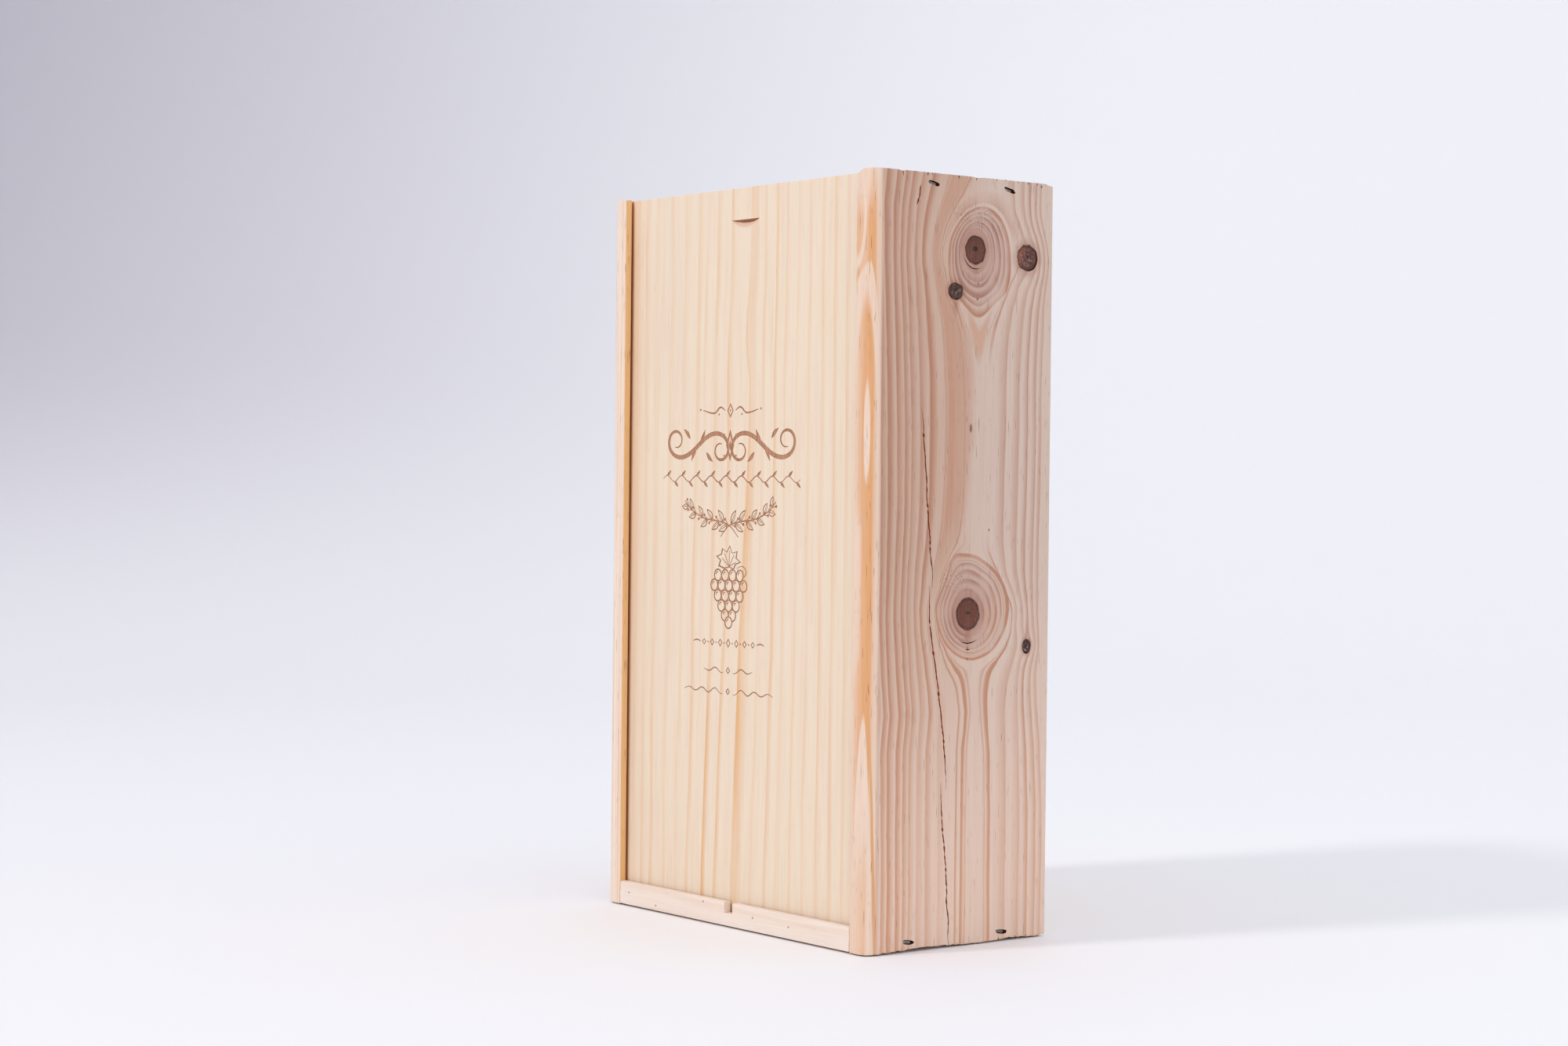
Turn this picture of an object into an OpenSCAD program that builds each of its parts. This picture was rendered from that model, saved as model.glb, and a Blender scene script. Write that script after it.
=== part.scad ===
/* [Box] */
// Height of the frame, standing on its closed end
box_h = 350; // [280:1:420]
// Width across the lid, over both side boards
box_w = 204; // [150:1:320]
// Depth from the front lips to the back
box_d = 108.5; // [90:0.5:150]
// How far the right side board stands above the rest of the frame
right_over = 0.7; // [0:0.1:2]

/* [Boards] */
// Thickness of the side boards
side_t = 12; // [10:0.5:18]
// Thickness of the two end boards
end_t = 12; // [10:0.5:18]
// Rounding of the outer front edge of each side board
front_round = 6; // [1:0.5:8]
// Small rounding that takes the sharpness off the planed edges
arris = 0.6; // [0.2:0.1:1]

/* [Lid and its groove] */
// Thickness of the lip in front of the lid groove
lip_t = 3.6; // [2.5:0.1:6]
// Depth of the lid groove in the boards
groove_d = 6; // [4:0.5:8]
// Thickness of the lid
lid_t = 5; // [3:0.5:8]
// Play between the lip and the front of the lid
lid_front_gap = 1.2; // [0.3:0.1:2]
// Play between the back of the lid and the groove
lid_back_gap = 0.3; // [0.2:0.1:0.8]
// Play between each long edge of the lid and its groove
lid_side_gap = 0.8; // [0.3:0.1:2]
// Gap under the lower edge of the closed lid
lid_end_gap = 0.2; // [0.1:0.1:1]
// How far the top of the closed lid lies below the top of the frame
lid_short = 0.4; // [0:0.1:2]

/* [Thumb notch] */
// Width of the notch along its straight upper edge
notch_w = 22; // [15:0.5:30]
// Height of the notch on the face of the lid
notch_h = 3.8; // [2:0.1:5]
// Angle between the steep wall of the notch and the face of the lid
notch_angle = 54; // [45:1:70]
// Distance from the top of the lid down to the straight edge
notch_drop = 15.2; // [8:0.1:40]
// Distance of the notch to the right of the middle
notch_off = 1.7; // [-5:0.1:5]

/* [Back panel] */
// Thickness of the back panel
back_t = 5; // [3:0.5:8]
// Width of the rebate that the panel lies on, in each side board
rebate_w = 6; // [5:0.5:8]
// Gap round the edge of the panel
back_gap = 0.3; // [0.1:0.1:0.8]

/* [Divider] */
// Thickness of the divider between the two bottles
divider_t = 6; // [4:0.5:10]
// Depth of the divider grooves in the end boards
divider_groove_d = 5.2; // [3:0.1:7]
// Gap between the divider and each groove wall
divider_gap = 0.2; // [0.1:0.1:0.5]
// Gap between the divider and the back of the lid
divider_lid_gap = 0.6; // [0.3:0.1:2]

/* [Staples] */
// Outer width of a staple crown
crown_w = 5.8; // [4:0.1:8]
// Thickness of the staple wire, seen along the crown
wire_t = 1; // [0.6:0.05:1.2]
// Width of the flattened staple wire
wire_w = 1.25; // [0.8:0.05:1.6]
// Rounding of the two bends of a staple
bend_r = 0.8; // [0.2:0.1:1.2]
// Length of the chisel point of a staple leg
point_l = 2; // [1:0.5:4]
// Play round a crown in its pocket
pocket_gap = 0.25; // [0.1:0.05:0.6]
// Length of the staples that hold the corners
frame_leg = 25; // [18:1:35]
// How deep the corner crowns are driven below the surface
frame_sink = 1; // [0.2:0.1:2]
// Distance of the front staple from the lips, at the top corners
top_staple = 34.5; // [20:0.5:45]
// Distance of the front staple from the lips, at the bottom corners
bottom_staple = 24.4; // [20:0.5:45]
// Distance of the rear staples from the back
rear_staple = 28; // [22:0.5:40]
// Distance of the staples from the top of the frame
top_inset = 4.1; // [3:0.1:6]
// Distance of the staples from the bottom of the frame
bottom_inset = 4.6; // [3:0.1:6]
// Slant of the crowns at the top corners
top_slant = 13; // [-20:1:20]
// Slant of the crowns at the bottom corners
bottom_slant = 8; // [-20:1:20]
// Length of the staples that hold the back panel
back_leg = 16; // [12:1:25]
// How deep the back crowns are driven below the surface
back_sink = 0.3; // [0.1:0.1:1]
// Number of back staples along each side board
side_count = 4; // [2:1:6]
// Number of back staples along each end board
end_count = 2; // [2:1:4]
// Distance from the corner to the first back staple along a side board
side_margin = 42; // [25:1:80]
// Distance from the corner to the first back staple along an end board
end_margin = 56; // [35:1:65]

/* [Hidden] */
$fn = 64;
// Overshoot of every cut past the face that it opens
cut = 1;
// Planes of the front lips and of the back
front = -box_d / 2;
back = box_d / 2;
// Clear width between the side boards
inner_w = box_w - 2 * side_t;
// Lid groove, and the lid in it
groove_w = lid_front_gap + lid_t + lid_back_gap;
lid_y = front + lip_t + lid_front_gap;
lid_w = inner_w + 2 * (groove_d - lid_side_gap);
lid_z = end_t - groove_d + lid_end_gap;
lid_h = box_h - lid_short - lid_z;
// Face of the back panel that closes the compartments
back_y = back - back_t;
// Front edge of the open end board, level with the rear wall of the lid groove
open_end_y = front + lip_t + groove_w;
// Divider and the grooves that hold it
divider_y = lid_y + lid_t + divider_lid_gap;
divider_z = end_t - divider_groove_d + divider_gap;
divider_slot_w = divider_t + 2 * divider_gap;
// Disc that cuts the thumb notch: how deep it goes along its flat side, its radius and thickness
disc_dip = notch_h * cos(notch_angle);
disc_r = (pow(notch_w / 2, 2) + pow(disc_dip, 2)) / (2 * disc_dip);
disc_t = 2 * notch_h;
// Middle of the rebate, where the staples of the back panel go
land_x = inner_w / 2 + rebate_w / 2;

// Evenly spaced places from one margin to the other
function spread(length, margin, count) =
    [for (i = [0 : count - 1]) margin + i * (length - 2 * margin) / (count - 1)];

// Waste at a corner that lies at the origin, with the wood to its left and above it
module corner_waste(r) {
    difference() {
        translate([-r, -cut]) square([r + cut, r + cut]);
        translate([-r, r]) circle(r);
    }
}

// Section of a side board: inner face on x = 0, front lip on y = 0, outer face on the right
module side_section() {
    difference() {
        square([side_t, box_d]);
        translate([-cut, lip_t]) square([groove_d + cut, groove_w]);
        translate([-cut, box_d - back_t]) square([rebate_w + cut, back_t + cut]);
        translate([side_t, 0]) corner_waste(front_round);
        mirror([1, 0]) corner_waste(arris);
        translate([side_t, box_d]) mirror([0, 1]) corner_waste(arris);
    }
}

// A side board of the given length, on the right of the box
module side_board(length) {
    difference() {
        translate([inner_w / 2, front, 0]) linear_extrude(length) side_section();
        at_top_corner() crown_pocket(frame_sink);
        at_bottom_corner() crown_pocket(frame_sink);
    }
}

// Flat panel standing upright with its long edges eased
module panel(width, thick, height) {
    linear_extrude(height)
        difference() {
            translate([-width / 2, 0]) square([width, thick]);
            for (side = [0, 1])
                mirror([side, 0]) {
                    translate([width / 2, 0]) corner_waste(arris);
                    translate([width / 2, thick]) mirror([0, 1]) corner_waste(arris);
                }
        }
}

// Turns a section drawn in depth and height so that it runs across the box between the side boards
module across() {
    translate([-inner_w / 2, 0, 0])
        rotate([90, 0, 90])
            linear_extrude(inner_w) children();
}

// Groove that takes one end of the divider, running from front to back with its floor at the height z
module divider_slot(z) {
    translate([-divider_slot_w / 2, front - cut, z])
        cube([divider_slot_w, box_d + 2 * cut, divider_groove_d + cut]);
}

// Staple with its crown along x, its top on y = 0 and its legs pointing down
module staple(leg) {
    half = crown_w / 2;
    linear_extrude(wire_w, center = true)
        difference() {
            polygon([
                [-half, point_l - leg],
                [-half, 0],
                [half, 0],
                [half, point_l - leg],
                [half - wire_t, -leg],
                [half - wire_t, -wire_t],
                [wire_t - half, -wire_t],
                [wire_t - half, -leg]
            ]);
            for (side = [0, 1])
                mirror([side, 0])
                    translate([half, 0]) mirror([0, 1]) corner_waste(bend_r);
        }
}

// Pocket that a crown makes when it is driven the given depth below the surface
module crown_pocket(sink) {
    length = crown_w + 2 * pocket_gap;
    width = wire_w + 2 * pocket_gap;
    translate([-length / 2, -wire_t, -width / 2])
        cube([length, wire_t + sink + cut, width]);
}

// Puts its children at the two staples of a right-hand corner, legs towards the inside
module at_corner(z, front_staple, slant) {
    for (y = [front + front_staple, back - rear_staple])
        translate([box_w / 2 - frame_sink, y, z])
            rotate([-slant, 0, 0])
                rotate(180, [1, 1, 0]) children();
}

module at_top_corner() {
    at_corner(box_h - top_inset, top_staple, top_slant) children();
}

module at_bottom_corner() {
    at_corner(bottom_inset, bottom_staple, bottom_slant) children();
}

// Puts its children at the back staples of the right-hand side board
module at_back_side() {
    for (z = spread(box_h, side_margin, side_count))
        translate([land_x, back - back_sink, z])
            rotate([0, 90, 0]) children();
}

// Puts its children at the back staples of the end board whose middle is at the height z
module at_back_end(z) {
    for (x = spread(box_w, end_margin, end_count))
        translate([x - box_w / 2, back - back_sink, z]) children();
}

module left_side_board() {
    color("burlywood") mirror([1, 0, 0]) side_board(box_h);
}

module right_side_board() {
    color("burlywood") side_board(box_h + right_over);
}

module closed_end_board() {
    color("wheat")
        difference() {
            across()
                difference() {
                    translate([front, 0]) square([back_y - front, end_t]);
                    translate([front + lip_t, end_t - groove_d]) square([groove_w, groove_d + cut]);
                    translate([front, end_t]) rotate(180) corner_waste(arris);
                }
            divider_slot(end_t - divider_groove_d);
        }
}

module open_end_board() {
    color("wheat")
        difference() {
            across()
                difference() {
                    translate([open_end_y, box_h - end_t]) square([back_y - open_end_y, end_t]);
                    translate([open_end_y, box_h]) rotate(180) corner_waste(arris);
                }
            translate([0, 0, box_h - end_t - cut]) divider_slot(0);
        }
}

module back_panel() {
    color("antiquewhite")
        difference() {
            translate([0, back_y, 0])
                panel(inner_w + 2 * (rebate_w - back_gap), back_t, box_h);
            for (side = [0, 1])
                mirror([side, 0, 0]) at_back_side() crown_pocket(back_sink);
            for (z = [end_t / 2, box_h - end_t / 2])
                at_back_end(z) crown_pocket(back_sink);
        }
}

module divider() {
    color("wheat")
        translate([-divider_t / 2, divider_y, divider_z])
            cube([divider_t, back_y - divider_y - divider_gap, box_h - 2 * divider_z]);
}

module sliding_lid() {
    color("moccasin")
        difference() {
            translate([0, lid_y, lid_z]) panel(lid_w, lid_t, lid_h);
            translate([notch_off, lid_y, lid_z + lid_h - notch_drop])
                rotate([90 + notch_angle, 0, 0])
                    translate([0, disc_r - disc_dip, 0])
                        cylinder(r = disc_r, h = disc_t, $fn = 4 * $fn);
        }
}

module left_top_staples() {
    color("dimgray") mirror([1, 0, 0]) at_top_corner() staple(frame_leg);
}

module left_bottom_staples() {
    color("dimgray") mirror([1, 0, 0]) at_bottom_corner() staple(frame_leg);
}

module right_top_staples() {
    color("dimgray") at_top_corner() staple(frame_leg);
}

module right_bottom_staples() {
    color("dimgray") at_bottom_corner() staple(frame_leg);
}

module back_left_staples() {
    color("dimgray") mirror([1, 0, 0]) at_back_side() staple(back_leg);
}

module back_right_staples() {
    color("dimgray") at_back_side() staple(back_leg);
}

module back_top_staples() {
    color("dimgray") at_back_end(box_h - end_t / 2) staple(back_leg);
}

module back_bottom_staples() {
    color("dimgray") at_back_end(end_t / 2) staple(back_leg);
}

left_side_board();
right_side_board();
closed_end_board();
open_end_board();
back_panel();
divider();
sliding_lid();
left_top_staples();
left_bottom_staples();
right_top_staples();
right_bottom_staples();
back_left_staples();
back_right_staples();
back_top_staples();
back_bottom_staples();
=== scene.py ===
import math
import random
from functools import reduce

import bmesh
import bpy
from mathutils import Matrix, Vector, noise
from mathutils.geometry import delaunay_2d_cdt


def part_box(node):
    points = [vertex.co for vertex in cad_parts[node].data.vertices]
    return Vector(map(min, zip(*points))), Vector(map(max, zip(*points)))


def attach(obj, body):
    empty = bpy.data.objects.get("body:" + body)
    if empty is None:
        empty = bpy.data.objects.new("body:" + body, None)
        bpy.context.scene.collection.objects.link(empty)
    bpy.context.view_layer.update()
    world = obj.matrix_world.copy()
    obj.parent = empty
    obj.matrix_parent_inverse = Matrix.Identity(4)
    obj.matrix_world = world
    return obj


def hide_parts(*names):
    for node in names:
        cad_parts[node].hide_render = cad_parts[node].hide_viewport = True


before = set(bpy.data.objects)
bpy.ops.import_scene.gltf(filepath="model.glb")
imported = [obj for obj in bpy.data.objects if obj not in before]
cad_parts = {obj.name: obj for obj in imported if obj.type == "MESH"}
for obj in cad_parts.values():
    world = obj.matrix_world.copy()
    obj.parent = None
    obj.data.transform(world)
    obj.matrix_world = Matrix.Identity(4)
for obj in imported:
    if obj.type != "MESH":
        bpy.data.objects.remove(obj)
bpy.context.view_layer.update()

# The box stands on its closed end. All sizes below are in mm, and x runs to the right along the lid,
# y from the lid to the back, z up. The front lips lie at y = frontY.
mm = 0.001


def cornersOf(node):
    return [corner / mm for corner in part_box(node)]


frontY = cornersOf("closed_end_board")[0].y
innerFace, outerFace = 90, 102  # of the side boards, from the middle of the box
lidLow, lidHigh = cornersOf("sliding_lid")
panelLow, panelHigh = cornersOf("back_panel")
dividerLow, dividerHigh = cornersOf("divider")
topLow, topHigh = cornersOf("open_end_board")


def addObject(name, data):
    thing = bpy.data.objects.new(name, data)
    bpy.context.scene.collection.objects.link(thing)
    return thing


def finishedMesh(name, body):
    mesh = bpy.data.meshes.new(name)
    body.to_mesh(mesh)
    body.free()
    return mesh


camera = {
    "place": (1067.58, -856.40, 209.43),  # mm from the middle of the box's foot
    "turn": 52.03,  # degrees round from the front towards the right side
    "dip": 0.769,  # degrees below level
    "roll": 0.595,  # degrees
    "lens": 65.05,  # mm, on a sensor 36 mm wide
}


def setCamera():
    turn, dip, roll = (math.radians(camera[key]) for key in ("turn", "dip", "roll"))
    forward = Vector((-math.sin(turn) * math.cos(dip), math.cos(turn) * math.cos(dip), -math.sin(dip)))
    level = Vector((math.cos(turn), math.sin(turn), 0))
    upright = level.cross(forward)
    right = level * math.cos(roll) + upright * math.sin(roll)
    up = upright * math.cos(roll) - level * math.sin(roll)
    data = bpy.data.cameras.new("photoCamera")
    data.lens = camera["lens"]
    data.sensor_width = 36
    data.clip_end = 50
    view = addObject("photoCamera", data)
    turned = Matrix((right, up, -forward)).transposed().to_4x4()
    view.matrix_world = Matrix.Translation(Vector(camera["place"]) * mm) @ turned
    bpy.context.scene.camera = view


setCamera()
print("camera set")


def plug(tree, socket, value):
    # Gives a node's input a number, a colour or what another node puts out
    if isinstance(value, Wire):
        tree.links.new(value.socket, socket)
    elif isinstance(value, (tuple, list)):
        socket.default_value = (*value, 1) if len(value) == 3 else value
    else:
        socket.default_value = value


class Wire:
    # One value in a material's nodes. Sums of wires add the nodes that work them out.
    def __init__(self, tree, socket):
        self.tree = tree
        self.socket = socket

    def op(self, kind, *others):
        node = self.tree.nodes.new("ShaderNodeMath")
        node.operation = kind
        for socket, value in zip(node.inputs, (self, *others)):
            plug(self.tree, socket, value)
        return Wire(self.tree, node.outputs[0])

    def __add__(self, other):
        return self.op("ADD", other)

    def __sub__(self, other):
        return self.op("SUBTRACT", other)

    def __mul__(self, other):
        return self.op("MULTIPLY", other)

    def __truediv__(self, other):
        return self.op("DIVIDE", other)

    __radd__ = __add__
    __rmul__ = __mul__

    def __rsub__(self, other):
        return self * -1 + other

    def __rtruediv__(self, other):
        return self.op("POWER", -1) * other

    def squared(self):
        return self * self

    def size(self):
        return self.op("ABSOLUTE")

    def least(self, other):
        return self.op("MINIMUM", other)

    def most(self, other):
        return self.op("MAXIMUM", other)


def far(a, b):
    # Length of the slope whose two sides are a and b
    return (a * a + b * b).op("SQRT")


def ease(value, start, end):
    # 0 before start and 1 after end, with a soft turn at both; start may be the greater
    node = value.tree.nodes.new("ShaderNodeMapRange")
    node.interpolation_type = "SMOOTHSTEP"
    plug(value.tree, node.inputs["Value"], value)
    node.inputs["From Min"].default_value = start
    node.inputs["From Max"].default_value = end
    return Wire(value.tree, node.outputs["Result"])


def joined(x, y, z):
    tree = next(w.tree for w in (x, y, z) if isinstance(w, Wire))
    node = tree.nodes.new("ShaderNodeCombineXYZ")
    for socket, value in zip(node.inputs, (x, y, z)):
        plug(tree, socket, value)
    return Wire(tree, node.outputs[0])


def cloud(x, y, z, detail=2.0, rough=0.5):
    # Soft noise from 0 to 1, one lump for each unit of x, y and z
    point = joined(x, y, z)
    node = point.tree.nodes.new("ShaderNodeTexNoise")
    node.inputs["Scale"].default_value = 1
    node.inputs["Detail"].default_value = detail
    node.inputs["Roughness"].default_value = rough
    point.tree.links.new(point.socket, node.inputs["Vector"])
    return Wire(point.tree, node.outputs[0])


def curve(value, points):
    # Height, at the value, of the line that joins the points
    left, right = points[0][0], points[-1][0]
    bottom = min(p[1] for p in points)
    top = max(max(p[1] for p in points), bottom + 1e-6)
    node = value.tree.nodes.new("ShaderNodeFloatCurve")
    mapping = node.mapping
    mapping.extend = "HORIZONTAL"
    line = mapping.curves[0]
    while len(line.points) < len(points):
        line.points.new(0.5, 0.5)
    for knob, (x, y) in zip(line.points, points):
        knob.location = ((x - left) / (right - left), (y - bottom) / (top - bottom))
        knob.handle_type = "VECTOR"
    mapping.update()
    plug(value.tree, node.inputs["Value"], (value - left) / (right - left))
    return Wire(value.tree, node.outputs[0]) * (top - bottom) + bottom


def ringTone(value, rings, edge=0.45):
    # Darkness of the late wood. Each ring is (place of its sharp edge, how far it fades, strength);
    # a minus fade runs towards lower values. Seven rings share a curve, to keep the edges sharp.
    parts = []
    rings = sorted(rings)
    for first in range(0, len(rings), 7):
        points = []
        for place, fade, strength in rings[first:first + 7]:
            side = 1 if fade > 0 else -1
            ring = [(place - side * edge, 0), (place + side * 0.15, strength),
                    (place + fade * 0.45, strength * 0.6), (place + fade, 0)]
            for x, y in sorted(ring):
                if points and x <= points[-1][0]:
                    x = points[-1][0] + 0.05
                points.append((x, y))
        parts.append(curve(value, [(points[0][0] - 1, 0), *points, (points[-1][0] + 1, 0)]))
    return reduce(Wire.__add__, parts)


def evenRings(value, share, sharp=0.07):
    # The same for rings one unit apart, dark over the last share of each
    turn = value.op("FRACT")
    return ease(turn, 1 - share, 1 - sharp) * ease(turn, 1, 1 - sharp)


def tint(red, green, blue):
    # A colour as a paint program shows it, 0 to 255, turned into light
    return tuple(((c / 255 + 0.055) / 1.055) ** 2.4 if c > 10 else c / 3295 for c in (red, green, blue))


def mixed(under, over, share):
    node = share.tree.nodes.new("ShaderNodeMix")
    node.data_type = "RGBA"
    plug(share.tree, node.inputs[0], share)
    plug(share.tree, node.inputs[6], under)
    plug(share.tree, node.inputs[7], over)
    return Wire(share.tree, node.outputs[2])


def newMaterial(name):
    material = bpy.data.materials.new(name)
    material.use_nodes = True
    tree = material.node_tree
    shader = tree.nodes["Principled BSDF"]
    coordinates = tree.nodes.new("ShaderNodeTexCoord")
    scaled = tree.nodes.new("ShaderNodeVectorMath")
    scaled.operation = "SCALE"
    scaled.inputs["Scale"].default_value = 1 / mm
    tree.links.new(coordinates.outputs["Object"], scaled.inputs[0])
    split = tree.nodes.new("ShaderNodeSeparateXYZ")
    tree.links.new(scaled.outputs[0], split.inputs[0])
    return material, shader, [Wire(tree, socket) for socket in split.outputs]


def relief(shader, height):
    # Height in mm, read as a bump
    tree = height.tree
    node = tree.nodes.new("ShaderNodeBump")
    node.inputs["Strength"].default_value = 1
    node.inputs["Distance"].default_value = mm
    plug(tree, node.inputs["Height"], height)
    tree.links.new(node.outputs[0], shader.inputs["Normal"])


fibres = {
    "dark": tint(120, 78, 52),
    "light": tint(255, 236, 214),
    "streak": tint(178, 120, 88),
    "broad": tint(205, 150, 118),
    "dash": tint(112, 58, 32),
}


def finishWood(shader, colour, late, across, along, through, dashes=0.42, rare=0.735, streaks=0.5):
    # Fine fibres, short dark resin lines and the feel that all the boards share
    fibre = cloud(across * 3.2, along * 0.05, through * 3.2, 3, 0.6)
    streak = cloud(across, along * 0.016, through, 2)
    broad = cloud(across * 0.35, along * 0.012, through * 0.35, 2)
    dash = ease(cloud(across * 2.3, along * 0.09, through * 2.3, 1), rare, rare + 0.05)
    shaded = mixed(colour, fibres["dark"], (fibre - 0.5).most(0) * 0.34)
    shaded = mixed(shaded, fibres["light"], (0.5 - fibre).most(0) * 0.30)
    shaded = mixed(shaded, fibres["streak"], (streak - 0.5).most(0) * streaks)
    shaded = mixed(shaded, fibres["broad"], (broad - 0.5).most(0) * 0.34)
    shaded = mixed(shaded, fibres["dash"], dash * dashes)
    tree = shaded.tree
    plug(tree, shader.inputs["Base Color"], shaded)
    plug(tree, shader.inputs["Roughness"], 0.62 - late * 0.10 + (fibre - 0.5) * 0.12)
    shader.inputs["Specular IOR Level"].default_value = 0.3
    relief(shader, late * 0.035 + fibre * 0.05 - dash * 0.05)


# Colours of the side boards, and of the small marks that the plain boards share
pine = {
    "early": tint(218, 195, 178),
    "warmEarly": tint(210, 179, 157),  # between the rings in front of the heart
    "late": tint(186, 133, 106),
    "earlyFootLit": tint(237, 209, 188),  # painted bounce light: the foot of the board is painted paler and warmer, as if lit from the floor
    # its late wood, painted lighter at the foot the same way; the broad bands take this warm colour too
    "lateWarmAndFootLit": tint(217, 161, 126),
    "eye": tint(194, 152, 136),
    "eyeRing": tint(150, 112, 106),
    "frontPale": tint(246, 220, 197),
    "frontOrange": tint(234, 173, 118),
    "knot": tint(112, 58, 46),
    "darkKnot": tint(42, 27, 25),
    "knotOrange": tint(176, 106, 72),
    "pith": tint(34, 18, 14),
    "rim": tint(44, 22, 16),
    "knotStain": tint(158, 96, 74),
    "knotSpeck": tint(164, 96, 66),
    # grey in the knots: partly the knot's own grey and partly painted sheen
    "knotGreySheen": tint(176, 160, 158),
    "pore": tint(112, 74, 66),
    "mark": tint(104, 60, 48),
    "leftFront": tint(252, 233, 213),
    # painted bounce light: the left lip's shaded inner face is painted bright orange, as if lit by warm light
    # bounced off the lid
    "revealBounceLight": tint(246, 194, 126),
    # painted shade: the inside of the lid's groove is painted dark orange-brown, for its shade with warm
    # light bounced between the woods
    "grooveShade": tint(200, 112, 52),
    # painted shade: a dark brown line along the foot of each board, for the contact shadow under the box
    "foot": tint(104, 64, 42),
    "endKnot": tint(150, 104, 84),
}

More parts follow.
